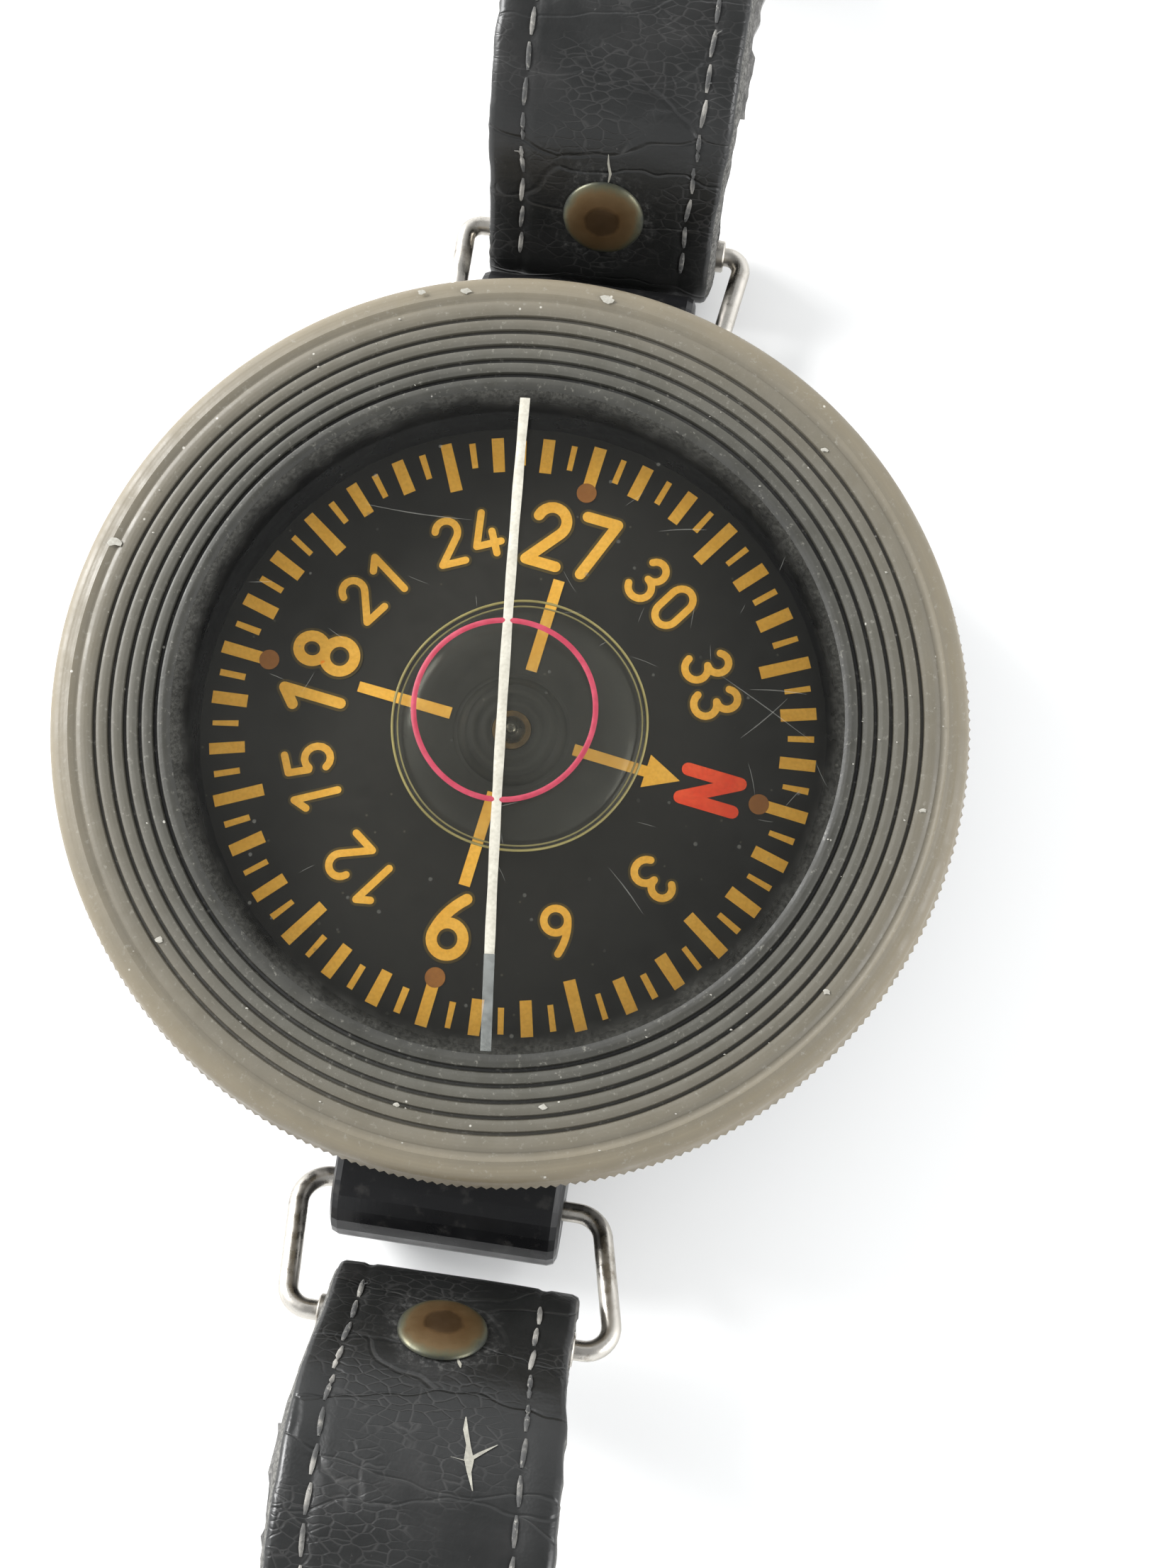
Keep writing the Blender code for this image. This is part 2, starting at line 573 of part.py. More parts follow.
def back_plate():
    surface = material("grey_aluminium", (0.32, 0.32, 0.31), 0.45, 1.0)
    mesh = disc("back_plate", BACK_PLATE_RADIUS, 0.0, BACK_PLATE_THICKNESS, TURNED_SEGMENTS)
    plate = add_object("back_plate", mesh, surface)
    hole = SCREW_SHANK_RADIUS + 0.2 * MM
    mouth = SCREW_HEAD_RADIUS + 0.2 * MM
    for i, place in enumerate(screw_places()):
        outline = [(0.0, 2 * MM), (hole, 2 * MM), (hole, 0.8 * MM), (mouth, 0.1 * MM), (mouth, -1 * MM),
                   (0.0, -1 * MM)]
        boolean(plate, helper(f"plate_hole_{i}", turned(f"plate_hole_{i}", outline, 16, place)))
        screw = [(0.0, SCREW_LENGTH), (SCREW_SHANK_RADIUS, SCREW_LENGTH), (SCREW_SHANK_RADIUS, 0.7 * MM),
                 (SCREW_HEAD_RADIUS, 0.1 * MM), (0.0, 0.1 * MM)]
        name = f"back_screw_{i + 1}"
        driven = add_object(name, turned(name, screw, 16, place), steel())
        slot = box(f"screw_slot_{i}", (-2 * MM, -0.2 * MM, -1 * MM), (2 * MM, 0.2 * MM, 0.35 * MM))
        slot.transform(Matrix.Rotation(0.7 * i, 4, "Z"))
        slot.transform(Matrix.Translation((*place, 0.0)))
        boolean(driven, helper(f"screw_slot_{i}", slot))


def capsule_retention(axis):
    """Brass ring on the spigot, and the wave spring above it that makes the capsule stiff to turn."""
    bottom = SPIGOT_BOTTOM_Z + SEAT
    inner = SPIGOT_RADIUS + SEAT
    outer = BACK_CAVITY_RADIUS - 0.4 * MM
    mesh = tube("retaining_ring", inner, outer, bottom, bottom + RETAINING_THICKNESS)
    add_object("retaining_ring", mesh, brass(), axis)
    flange_bottom, _ = flange_z()
    middle = (bottom + RETAINING_THICKNESS + flange_bottom) / 2
    spring = tube("wave_spring", SPIGOT_RADIUS + GAP, outer, middle - SPRING_THICKNESS / 2,
                  middle + SPRING_THICKNESS / 2)
    for v in spring.vertices:
        v.co.z += SPRING_WAVE * math.sin(3 * math.atan2(v.co.y, v.co.x))
    add_object("wave_spring", spring, steel(), axis)


# ---------------------------------------------------------------- wire rings

def rounded_loop(corners, radii, steps=5):
    """Points round a closed polygon with rounded corners, in the XY plane."""
    points = []
    count = len(corners)
    for i, radius in enumerate(radii):
        here = Vector(corners[i])
        back = (Vector(corners[i - 1]) - here).normalized()
        on = (Vector(corners[(i + 1) % count]) - here).normalized()
        half = back.angle(on) / 2
        start = here + back * radius / math.tan(half)
        end = here + on * radius / math.tan(half)
        centre = here + (back + on).normalized() * radius / math.sin(half)
        a = start - centre
        turn = a.angle_signed(end - centre)
        points += [centre + Matrix.Rotation(-turn * k / steps, 2) @ a for k in range(steps + 1)]
    return [(p.x, p.y, 0.0) for p in points]


def wire(name, points, radius, surface, parent, closed=True):
    curve = bpy.data.curves.new(name, "CURVE")
    curve.dimensions = "3D"
    curve.bevel_depth = radius
    curve.bevel_resolution = 3
    curve.use_fill_caps = True
    spline = curve.splines.new("POLY")
    spline.points.add(len(points) - 1)
    for point, place in zip(spline.points, points):
        point.co = (*place, 1.0)
    spline.use_cyclic_u = closed
    obj = bpy.data.objects.new(name, curve)
    bpy.context.scene.collection.objects.link(obj)
    curve.materials.append(surface)
    obj.parent = parent
    return obj


def wire_ring(side, hinge):
    """Rounded wire ring from the lug's hole to the strap's loop, wider at the strap and pulled askew."""
    outer = side.ring_width / 2 - WIRE_RADIUS
    inner = outer - 0.6 * MM
    straight = LOOP_WIDTH / 2 + SLEEVE_OVERHANG
    strap_corner = BEND_SHARE * (outer - straight - 0.1 * MM)
    lug_corner = BEND_SHARE * (inner - LUG_WIDTH / 2 - 0.1 * MM)
    corners = [(-inner, 0), (inner, 0), (side.skew + outer, side.ring_length),
               (side.skew - outer, side.ring_length)]
    radii = [lug_corner, lug_corner, strap_corner, strap_corner]
    wire("wire_ring_" + side.name, rounded_loop(corners, radii), WIRE_RADIUS, steel(), hinge)


def ring_sleeve(side, joint):
    """Steel sleeve on the ring's bar, which the strap grips; it shows at one edge of the strap."""
    straight = LOOP_WIDTH / 2 + SLEEVE_OVERHANG
    low = WIRE_RADIUS + SLEEVE_BORE_CLEARANCE
    mesh = tube("ring_sleeve_" + side.name, low, SLEEVE_RADIUS, -LOOP_WIDTH / 2 - SEAT, straight,
                SMALL_SEGMENTS)
    mesh.transform(Matrix.Rotation(math.pi / 2, 4, "Y"))
    add_object("ring_sleeve_" + side.name, mesh, steel(), joint)


# ---------------------------------------------------------------- straps

class Section:
    """One cross-section of a strap: its middle, the normal out of its grain side, its length so far."""

    def __init__(self, y, z, heading, s):
        self.y = y
        self.z = z
        self.normal = (-math.sin(heading), math.cos(heading))
        self.s = s

    def at(self, offset):
        return self.y + self.normal[0] * offset, self.z + self.normal[1] * offset


def strap_run(side, flat_z):
    """Sections of the strap's outer leather from above the ring's bar to the end of the flat."""
    mid = SLEEVE_RADIUS + LOOP_GAP + LEATHER / 2
    heading = STRAP_RISE
    y, z, s = -mid * math.sin(heading), mid * math.cos(heading), 0.0
    sections = [Section(y, z, heading, s)]

    def straight(length, steps):
        nonlocal y, z, s
        for _ in range(steps):
            y += length / steps * math.cos(heading)
            z += length / steps * math.sin(heading)
            s += length / steps
            sections.append(Section(y, z, heading, s))

    def bend(radius, turn, steps):
        nonlocal y, z, s, heading
        sign = math.copysign(1.0, turn)
        for _ in range(steps):
            cy, cz = y - sign * radius * math.sin(heading), z + sign * radius * math.cos(heading)
            heading += turn / steps
            y, z = cy + sign * radius * math.sin(heading), cz - sign * radius * math.cos(heading)
            s += radius * abs(turn) / steps
            sections.append(Section(y, z, heading, s))

    straight(TAIL_MEETS, 3)
    straight(side.straight - TAIL_MEETS, 1)
    bend(side.crest_radius, -(STRAP_RISE + side.fall), 14)
    foot_drop = side.foot_radius * (1 - math.cos(side.fall))
    straight((z - flat_z - foot_drop) / math.sin(side.fall), 2)
    bend(side.foot_radius, side.fall, 8)
    straight(side.flat - TIP_LENGTH, 12)
    straight(TIP_LENGTH, 6)
    return sections


def loop_leave(bar, radius, meets, side):
    """Angle at which the line from the point meets touches the fold round a bar, on its +1 or -1 side."""
    dy, dz = meets[0] - bar[0], meets[1] - bar[1]
    return math.atan2(dz, dy) + side * math.acos(radius / math.hypot(dy, dz))


def strap_width_at(s):
    """Half width along the strap, narrowed for the ring."""
    t = min(max((s - TAIL_MEETS) / WIDEN_LENGTH, 0.0), 1.0)
    return (LOOP_WIDTH + (STRAP_WIDTH - LOOP_WIDTH) * t * t * (3 - 2 * t)) / 2


def drift_at(side, s):
    t = min(max((s - TAIL_MEETS) / (45 * MM), 0.0), 1.0)
    return side.drift * t * t * (3 - 2 * t)


def tip_width(s, end, half):
    """Half width near the strap's rounded point."""
    left = end - s
    if left >= TIP_LENGTH:
        return half
    t = 1 - left / TIP_LENGTH
    return half * math.sqrt(max(1 - (0.94 * t) ** 2, 0.0))


def ribbon(name, rows):
    """A closed band from rows of (x of its middle, half width, upper (y, z), lower (y, z))."""
    bm = bmesh.new()
    sections = []
    for x, half, upper, lower in rows:
        corners = ((x - half, *upper), (x + half, *upper), (x + half, *lower), (x - half, *lower))
        sections.append([bm.verts.new(c) for c in corners])
    join_sections(bm, sections)
    return finished(bm, name, math.radians(50))


def strap_flat_z(side, bar_z):
    """Height of the outer leather's middle on the flat, above the ring's bar."""
    if side is BUCKLE_SIDE:
        return 2 * buckle_mid() + LEATHER / 2 - bar_z
    return LINING + LAYER_GAP + LEATHER / 2 - bar_z


def buckle_mid():
    """Radius of the leather's middle round the buckle's bar."""
    return BUCKLE_WIRE_RADIUS + LOOP_GAP + LEATHER / 2


def tail_rows(side, run, half):
    """Rows of a folded-back tail, which runs under the given sections."""
    offset = LEATHER + LAYER_GAP
    return [(drift_at(side, k.s), half, k.at(-offset - LEATHER / 2), k.at(-offset + LEATHER / 2))
            for k in run]


def strap(side, joint, bar_z):
    """Outer leather, folded round the ring and, on the buckle side, round the buckle's bar."""
    run = strap_run(side, strap_flat_z(side, bar_z))
    length = run[-1].s
    mid = SLEEVE_RADIUS + LOOP_GAP + LEATHER / 2
    first_tail = [k for k in run if TAIL_MEETS - 1e-9 <= k.s <= TAIL_LENGTH]
    meet = first_tail[0].at(-LEATHER - LAYER_GAP)
    start = STRAP_RISE + math.pi / 2
    leave = loop_leave((0.0, 0.0), mid, meet, -1)
    rows = tail_rows(side, list(reversed(first_tail)), LOOP_WIDTH / 2)
    steps = 14
    for i in range(steps):
        a = leave + (start - TAU - leave) * i / steps
        ray = (math.cos(a), math.sin(a))
        rows.append((0.0, LOOP_WIDTH / 2, tuple(c * (mid + LEATHER / 2) for c in ray),
                     tuple(c * (mid - LEATHER / 2) for c in ray)))
    for k in run:
        half = strap_width_at(k.s)
        if side is HOLES_SIDE:
            half = tip_width(k.s, length, half)
        rows.append((drift_at(side, k.s), half, k.at(LEATHER / 2), k.at(-LEATHER / 2)))
    if side is BUCKLE_SIDE:
        rows += buckle_fold_rows(side, run)
    name = "strap_" + side.name
    obj = add_object(name, ribbon(name, rows), leather(), joint)
    return obj, run


def buckle_bar(run):
    """The buckle bar's place in the strap's frame."""
    return run[-1].y, run[-1].z - buckle_mid()


def buckle_fold_rows(side, run):
    """Rows of the fold round the buckle's bar and of the tail that returns under the strap."""
    bar = buckle_bar(run)
    radius = buckle_mid()
    under = [k for k in run if run[-1].s - TAIL_LENGTH <= k.s <= run[-1].s - TAIL_MEETS]
    meet = under[-1].at(-LEATHER - LAYER_GAP)
    leave = loop_leave(bar, radius, meet, 1) - TAU
    half = STRAP_WIDTH / 2
    rows = []
    steps = 10
    for i in range(1, steps + 1):
        a = math.pi / 2 + (leave - math.pi / 2) * i / steps
        ray = (math.cos(a), math.sin(a))
        outer = radius + LEATHER / 2
        inner = radius - LEATHER / 2
        rows.append((side.drift, half, (bar[0] + outer * ray[0], bar[1] + outer * ray[1]),
                     (bar[0] + inner * ray[0], bar[1] + inner * ray[1])))
    return rows + tail_rows(side, list(reversed(under)), half)


def strap_lining(side, joint, run):
    """Inner leather between the tails, or from the tail to the tip."""
    length = run[-1].s
    end = length - TAIL_LENGTH - 1 * MM if side is BUCKLE_SIDE else length
    rows = []
    for k in run:
        if not TAIL_LENGTH + 1 * MM <= k.s <= end:
            continue
        half = strap_width_at(k.s) - 0.2 * MM
        if side is HOLES_SIDE:
            half = tip_width(k.s, length, half)
        top = -LEATHER / 2 - LAYER_GAP
        rows.append((drift_at(side, k.s), half, k.at(top), k.at(top - LINING)))
    name = "strap_lining_" + side.name
    return add_object(name, ribbon(name, rows), suede(), joint)


def rivet(side, joint, strap_obj):
    """Brass rivet through the strap and its tail: a domed cap with its shank, and the foot underneath."""
    mid = SLEEVE_RADIUS + LOOP_GAP + LEATHER / 2
    seat = mid + LEATHER / 2 + SEAT
    foot_top = mid - 1.5 * LEATHER - LAYER_GAP - SEAT
    place = Matrix.Rotation(STRAP_RISE, 4, "X") @ Matrix.Translation((0, RIVET_FROM_BAR, 0))
    dome = arc((0.0, seat), 1.0, math.pi / 2, 0.0, 4)
    cap = [(RIVET_CAP_RADIUS * r, seat + RIVET_CAP_HEIGHT * (z - seat)) for r, z in dome]
    shank_end = foot_top + SEAT
    outline = cap + [(RIVET_SHANK_RADIUS, seat), (RIVET_SHANK_RADIUS, shank_end), (0.0, shank_end)]
    mesh = turned("rivet_cap_" + side.name, outline, SMALL_SEGMENTS)
    mesh.transform(place)
    add_object("rivet_cap_" + side.name, mesh, brass(), joint)
    foot = disc("rivet_foot_" + side.name, RIVET_FOOT_RADIUS, foot_top - RIVET_FOOT_THICKNESS, foot_top, 16)
    foot.transform(place)
    add_object("rivet_foot_" + side.name, foot, brass(), joint)
    hole = disc("rivet_hole_" + side.name, RIVET_SHANK_RADIUS + SEAT, foot_top, seat + 1 * MM, 16)
    hole.transform(place)
    boolean(strap_obj, helper("rivet_hole_" + side.name, hole, joint))


def punch_holes(side, joint, run, strap_obj, lining_obj):
    """Row of holes for the prong, counted back from the tip."""
    end = run[-1]
    for i in range(PUNCH_COUNT):
        y = end.y - PUNCH_FROM_TIP - i * PUNCH_PITCH
        hole = disc(f"punch_{i}", PUNCH_RADIUS, end.z - 5 * MM, end.z + 5 * MM, 12, (side.drift, y))
        cutter = helper(f"punch_{i}", hole, joint)
        boolean(strap_obj, cutter)
        boolean(lining_obj, cutter)


# ---------------------------------------------------------------- buckle and keepers

def buckle(joint, run, strap_obj):
    """Wire frame on the strap's far loop, and the prong that wraps its bar; each turns about the bar."""
    y, z = buckle_bar(run)
    frame_hinge = add_empty("buckle_hinge", joint, (0, y, z))
    half = STRAP_WIDTH / 2 + BUCKLE_SIDE_CLEARANCE + BUCKLE_WIRE_RADIUS
    corners = [(-half, 0), (half, 0), (half, BUCKLE_LENGTH), (-half, BUCKLE_LENGTH)]
    wire("buckle_frame", rounded_loop(corners, [BUCKLE_CORNER] * 4), BUCKLE_WIRE_RADIUS, steel(), frame_hinge)
    prong_hinge = add_empty("prong_hinge", frame_hinge)
    wrap = BUCKLE_WIRE_RADIUS + 0.15 * MM + PRONG_RADIUS
    hook = arc((0.0, 0.0), wrap, TAU, math.pi / 2, 14)
    shank = [(BUCKLE_LENGTH * f, wrap) for f in (0.3, 0.6, 0.9)]
    tip = [(BUCKLE_LENGTH + BUCKLE_WIRE_RADIUS + 0.6 * MM, wrap)]
    points = [(0.0, a, b) for a, b in hook + shank + tip]
    wire("buckle_prong", points, PRONG_RADIUS, steel(), prong_hinge, closed=False)
    slot_half = PRONG_RADIUS + PRONG_SLOT_CLEARANCE
    slot = box("prong_slot", (-slot_half, y - TAIL_MEETS + 0.3 * MM, z - 8 * MM),
               (slot_half, y + 6 * MM, z + 8 * MM))
    boolean(strap_obj, helper("prong_slot", slot, joint))


def keeper(name, joint, run, from_bar):
    """Leather band round the strap, with room above it for the other strap's end."""
    end = run[-1]
    strap_thickness = LEATHER + LAYER_GAP + LINING
    low = end.z - 1.5 * LEATHER - LAYER_GAP - KEEPER_CLEARANCE
    high = end.z + LEATHER / 2 + strap_thickness + KEEPER_CLEARANCE
    half = STRAP_WIDTH / 2 + KEEPER_CLEARANCE
    y = end.y - from_bar
    t = KEEPER_THICKNESS
    outer = box(name, (-half - t, y - KEEPER_LENGTH / 2, low - t),
                (half + t, y + KEEPER_LENGTH / 2, high + t))
    band = add_object(name, outer, leather(), joint)
    hollow = box(name + "_hollow", (-half, y - KEEPER_LENGTH, low), (half, y + KEEPER_LENGTH, high))
    boolean(band, helper(name + "_hollow", hollow, joint))
    bevel = band.modifiers.new("bevel", "BEVEL")
    bevel.width = 0.3 * MM
    bevel.segments = 1
    bevel.angle_limit = math.radians(40)


def strap_side(side):
    """Ring, strap and fittings of one side, each on an empty at its hinge."""
    frame = add_empty(side.name + "_side", rotation=(0, 0, side.turn))
    ring_hinge = add_empty(side.name + "_ring_hinge", frame, (0, HINGE_Y, HINGE_Z), (side.ring_angle, 0, 0))
    wire_ring(side, ring_hinge)
    strap_hinge = add_empty(side.name + "_strap_hinge", ring_hinge, (side.skew, side.ring_length, 0),
                            (-side.ring_angle, 0, 0))
    bar_z = HINGE_Z + side.ring_length * math.sin(side.ring_angle)
    ring_sleeve(side, strap_hinge)
    strap_obj, run = strap(side, strap_hinge, bar_z)
    lining_obj = strap_lining(side, strap_hinge, run)
    rivet(side, strap_hinge, strap_obj)
    if side is HOLES_SIDE:
        punch_holes(side, strap_hinge, run, strap_obj, lining_obj)
        return
    buckle(strap_hinge, run, strap_obj)
    keeper("fixed_keeper", strap_hinge, run, FIXED_KEEPER_FROM_BAR)
    slider = add_empty("sliding_keeper_slide", strap_hinge)
    keeper("sliding_keeper", slider, run, SLIDING_KEEPER_FROM_BAR)


# ---------------------------------------------------------------- assembly

def build():
    clear_scene()
    capsule_axis = add_empty("capsule_axis")
    capsule_housing(capsule_axis)
    capsule_cup(capsule_axis)
    capsule_gasket(capsule_axis)
    filler_plug(capsule_axis)
    lubber_line(capsule_axis)
    level_ring(capsule_axis)
    pivot(capsule_axis)
    capsule_retention(capsule_axis)
    card_axis = add_empty("card_axis", capsule_axis, rotation=(0, 0, -CARD_NORTH))
    compass_card(card_axis)
    card_bush(card_axis)
    magnets(card_axis)
    base_body()
    back_plate()
    for side in (BUCKLE_SIDE, HOLES_SIDE):
        strap_side(side)


build()
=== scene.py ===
"""Looks of the liquid-filled wrist compass: fine meshes, procedural materials, soft light and the camera.

Lengths are in metres in the model's frame: +Z up the compass axis, +Y along the strap towards the buckle.
"""

import math
import random

import bmesh
import bpy
from mathutils import Matrix, Vector, noise


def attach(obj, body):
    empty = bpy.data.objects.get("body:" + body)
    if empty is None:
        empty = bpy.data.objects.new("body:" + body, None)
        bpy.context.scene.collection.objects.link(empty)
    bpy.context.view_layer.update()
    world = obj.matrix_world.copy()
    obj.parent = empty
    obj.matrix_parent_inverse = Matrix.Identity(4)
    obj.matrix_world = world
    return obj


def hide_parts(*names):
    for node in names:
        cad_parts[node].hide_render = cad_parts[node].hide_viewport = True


MM = 0.001
TAU = 2 * math.pi

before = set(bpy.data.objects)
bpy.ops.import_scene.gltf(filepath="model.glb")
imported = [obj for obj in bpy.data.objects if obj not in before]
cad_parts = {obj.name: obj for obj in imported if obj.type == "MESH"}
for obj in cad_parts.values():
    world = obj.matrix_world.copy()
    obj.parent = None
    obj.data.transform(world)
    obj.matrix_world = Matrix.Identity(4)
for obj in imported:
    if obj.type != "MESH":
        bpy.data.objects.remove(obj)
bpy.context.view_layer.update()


# ---------------------------------------------------------------- node material helpers

class Surface:
    """A node material under construction."""

    def __init__(self, name):
        self.material = bpy.data.materials.new(name)
        self.material.use_nodes = True
        self.tree = self.material.node_tree
        self.tree.nodes.clear()
        self.object_coords = self.add("TexCoord").outputs["Object"]

    def add(self, kind, inputs=None, **settings):
        node = self.tree.nodes.new("ShaderNode" + kind)
        for key, value in settings.items():
            setattr(node, key, value)
        for key, value in (inputs or {}).items():
            socket = node.inputs[key]
            if isinstance(value, bpy.types.NodeSocket):
                self.tree.links.new(value, socket)
            elif isinstance(value, (tuple, list)) and len(value) == 3 and socket.type == "RGBA":
                socket.default_value = (*value, 1.0)
            else:
                socket.default_value = value
        return node

    def noise(self, scale, detail=3.0, rough=0.55, coords=None):
        node = self.add("TexNoise", {"Vector": coords or self.object_coords, "Scale": scale, "Detail": detail,
                                     "Roughness": rough})
        return node.outputs["Fac"]

    def cells(self, scale, feature="F1", coords=None):
        inputs = {"Vector": coords or self.object_coords, "Scale": scale}
        node = self.add("TexVoronoi", inputs, feature=feature)
        return node.outputs["Distance"]

    def stretched(self, scale):
        node = self.add("Mapping", {"Vector": self.object_coords, "Scale": scale})
        return node.outputs["Vector"]

    def warped(self, scale, reach):
        """Object coordinates pushed about by a noise, which bends a regular pattern."""
        texture = self.add("TexNoise", {"Vector": self.object_coords, "Scale": scale, "Detail": 2.0})
        inputs = {0: texture.outputs["Color"], 1: (0.5, 0.5, 0.5)}
        centred = self.add("VectorMath", inputs, operation="SUBTRACT")
        push = self.add("VectorMath", {0: centred.outputs[0], "Scale": reach}, operation="SCALE")
        return self.add("VectorMath", {0: self.object_coords, 1: push.outputs[0]}, operation="ADD").outputs[0]

    def math(self, operation, a, b=0.0, clamp=False):
        return self.add("Math", {0: a, 1: b}, operation=operation, use_clamp=clamp).outputs[0]

    def varied(self, texture, low, high):
        """A value that wanders between low and high with a noise."""
        return self.span(texture, 0.3, 0.7, low, high)

    def times(self, a, b):
        return self.math("MULTIPLY", a, b)

    def span(self, value, low, high, to_low=0.0, to_high=1.0):
        node = self.add("MapRange", {"Value": value, "From Min": low, "From Max": high, "To Min": to_low,
                                     "To Max": to_high}, interpolation_type="SMOOTHSTEP")
        return node.outputs["Result"]

    def blend(self, share, a, b, kind="MIX"):
        node = self.add("Mix", data_type="RGBA", blend_type=kind)
        for socket, value in ((node.inputs[0], share), (node.inputs[6], a), (node.inputs[7], b)):
            if isinstance(value, bpy.types.NodeSocket):
                self.tree.links.new(value, socket)
            elif isinstance(value, tuple):
                socket.default_value = (*value, 1.0)
            else:
                socket.default_value = value
        return node.outputs[2]

    def ramp(self, value, stops):
        node = self.add("ValToRGB", {"Fac": value})
        elements = node.color_ramp.elements
        while len(elements) < len(stops):
            elements.new(0.5)
        for element, (position, colour) in zip(elements, stops):
            element.position = position
            element.color = (*colour, 1.0)
        return node.outputs["Color"]

    def radius(self):
        """Distance from the upright axis."""
        flat = self.add("VectorMath", {0: self.object_coords, 1: (1.0, 1.0, 0.0)}, operation="MULTIPLY")
        away = self.add("VectorMath", {0: flat.outputs[0]}, operation="LENGTH")
        return away.outputs["Value"]

    def distance(self, centre):
        away = self.add("VectorMath", {0: self.object_coords, 1: tuple(centre)}, operation="DISTANCE")
        return away.outputs["Value"]

    def bump(self, height, strength, distance, normal=None):
        inputs = {"Height": height, "Strength": strength, "Distance": distance}
        if normal is not None:
            inputs["Normal"] = normal
        return self.add("Bump", inputs).outputs["Normal"]

    def principled(self, **inputs):
        named = {key.replace("_", " "): value for key, value in inputs.items()}
        return self.add("BsdfPrincipled", named).outputs["BSDF"]

    def finish(self, colour, rough, normal, **more):
        return self.done(self.principled(Base_Color=colour, Roughness=rough, Normal=normal, **more))

    def mix(self, share, a, b):
        return self.add("MixShader", {0: share, 1: a, 2: b}).outputs[0]

    def done(self, shader):
        self.add("OutputMaterial", {"Surface": shader})
        return self.material


# ---------------------------------------------------------------- materials

def bakelite_material():
    s = Surface("bakelite")
    wear = s.span(s.noise(900, 4), 0.55, 0.75)
    colour = s.blend(wear, (0.006, 0.006, 0.0065), (0.022, 0.021, 0.02))
    scratch = s.noise(400, 2, coords=s.stretched((9.0, 1.0, 2.0)))
    rough = s.span(s.noise(350, 4), 0.3, 0.75, 0.24, 0.45)
    normal = s.bump(scratch, 0.12, 0.00008)
    normal = s.bump(s.noise(2500, 2), 0.06, 0.00005, normal)
    return s.finish(colour, rough, normal, Specular_IOR_Level=0.3)


def steel_material(name="stained_steel", tint=(0.56, 0.53, 0.48), scale=1.0):
    s = Surface(name)
    stain = s.span(s.noise(420 * scale, 5, 0.65), 0.5, 0.72)
    colour = s.blend(stain, tint, (0.2, 0.17, 0.13))
    pits = s.span(s.cells(1300 * scale), 0.0, 0.22, 1.0, 0.0)
    colour = s.blend(s.times(pits, stain), colour, (0.08, 0.06, 0.045))
    rough = s.varied(s.noise(800 * scale, 3), 0.2, 0.42)
    normal = s.bump(s.noise(1500 * scale, 4), 0.22, 0.00006)
    return s.finish(colour, rough, normal, Metallic=1.0)


def brass_material():
    s = Surface("tarnished_brass")
    patch = s.span(s.noise(500, 5, 0.6), 0.38, 0.68)
    colour = s.blend(patch, (0.3, 0.19, 0.075), (0.13, 0.085, 0.04))
    rough = s.varied(s.noise(900, 3), 0.3, 0.5)
    normal = s.bump(s.noise(1800, 3), 0.15, 0.00005)
    return s.finish(colour, rough, normal, Metallic=0.9)


def rivet_material():
    """Brown tarnished cap with a darker middle; coordinates are the rivet's own."""
    s = Surface("rivet_brass")
    away = s.math("DIVIDE", s.radius(), 2.9 * MM)
    patch = s.noise(650, 5, 0.6)
    wobble = s.math("ADD", away, s.times(s.math("SUBTRACT", patch, 0.5), 0.3))
    colour = s.ramp(wobble, [(0.0, (0.055, 0.032, 0.015)), (0.36, (0.062, 0.036, 0.016)),
                             (0.46, (0.11, 0.064, 0.027)), (0.8, (0.115, 0.074, 0.033)),
                             (0.93, (0.075, 0.072, 0.042)), (1.0, (0.035, 0.038, 0.03))])
    rough = s.varied(patch, 0.34, 0.52)
    ring = s.span(away, 0.36, 0.46)
    normal = s.bump(ring, 0.25, 0.0001)
    normal = s.bump(s.noise(2200, 3), 0.18, 0.00005, normal)
    return s.finish(colour, rough, normal, Metallic=0.6)


def aluminium_material():
    s = Surface("turned_aluminium")
    turns = s.math("FRACT", s.times(s.radius(), 4200.0))
    smear = s.noise(260, 4)
    colour = s.blend(s.span(smear, 0.35, 0.7), (0.33, 0.33, 0.32), (0.2, 0.195, 0.185))
    scratch = s.span(s.noise(300, 2, coords=s.stretched((14.0, 1.0, 1.0))), 0.6, 0.72)
    colour = s.blend(s.times(scratch, 0.5), colour, (0.5, 0.5, 0.49))
    normal = s.bump(turns, 0.1, 0.00004)
    normal = s.bump(scratch, 0.15, 0.00005, normal)
    return s.finish(colour, s.varied(smear, 0.34, 0.5), normal, Metallic=1.0)


def rubber_material():
    s = Surface("gasket_rubber")
    colour = s.blend(s.noise(700, 4), (0.012, 0.012, 0.012), (0.03, 0.029, 0.028))
    normal = s.bump(s.noise(2600, 3), 0.3, 0.00006)
    return s.finish(colour, s.varied(s.noise(500), 0.6, 0.85), normal)


def magnet_material():
    s = Surface("magnet_steel")
    colour = s.blend(s.noise(900, 4), (0.09, 0.09, 0.095), (0.17, 0.165, 0.16))
    normal = s.bump(s.noise(500, 2, coords=s.stretched((1.0, 12.0, 1.0))), 0.2, 0.00006)
    return s.finish(colour, s.varied(s.noise(900), 0.3, 0.5), normal, Metallic=1.0)


def jewel_material():
    s = Surface("jewel")
    colour = s.blend(s.noise(3000, 2), (0.3, 0.03, 0.09), (0.42, 0.07, 0.14))
    return s.done(s.principled(Base_Color=colour, Roughness=s.varied(s.noise(4000), 0.06, 0.14),
                               Coat_Weight=0.5))


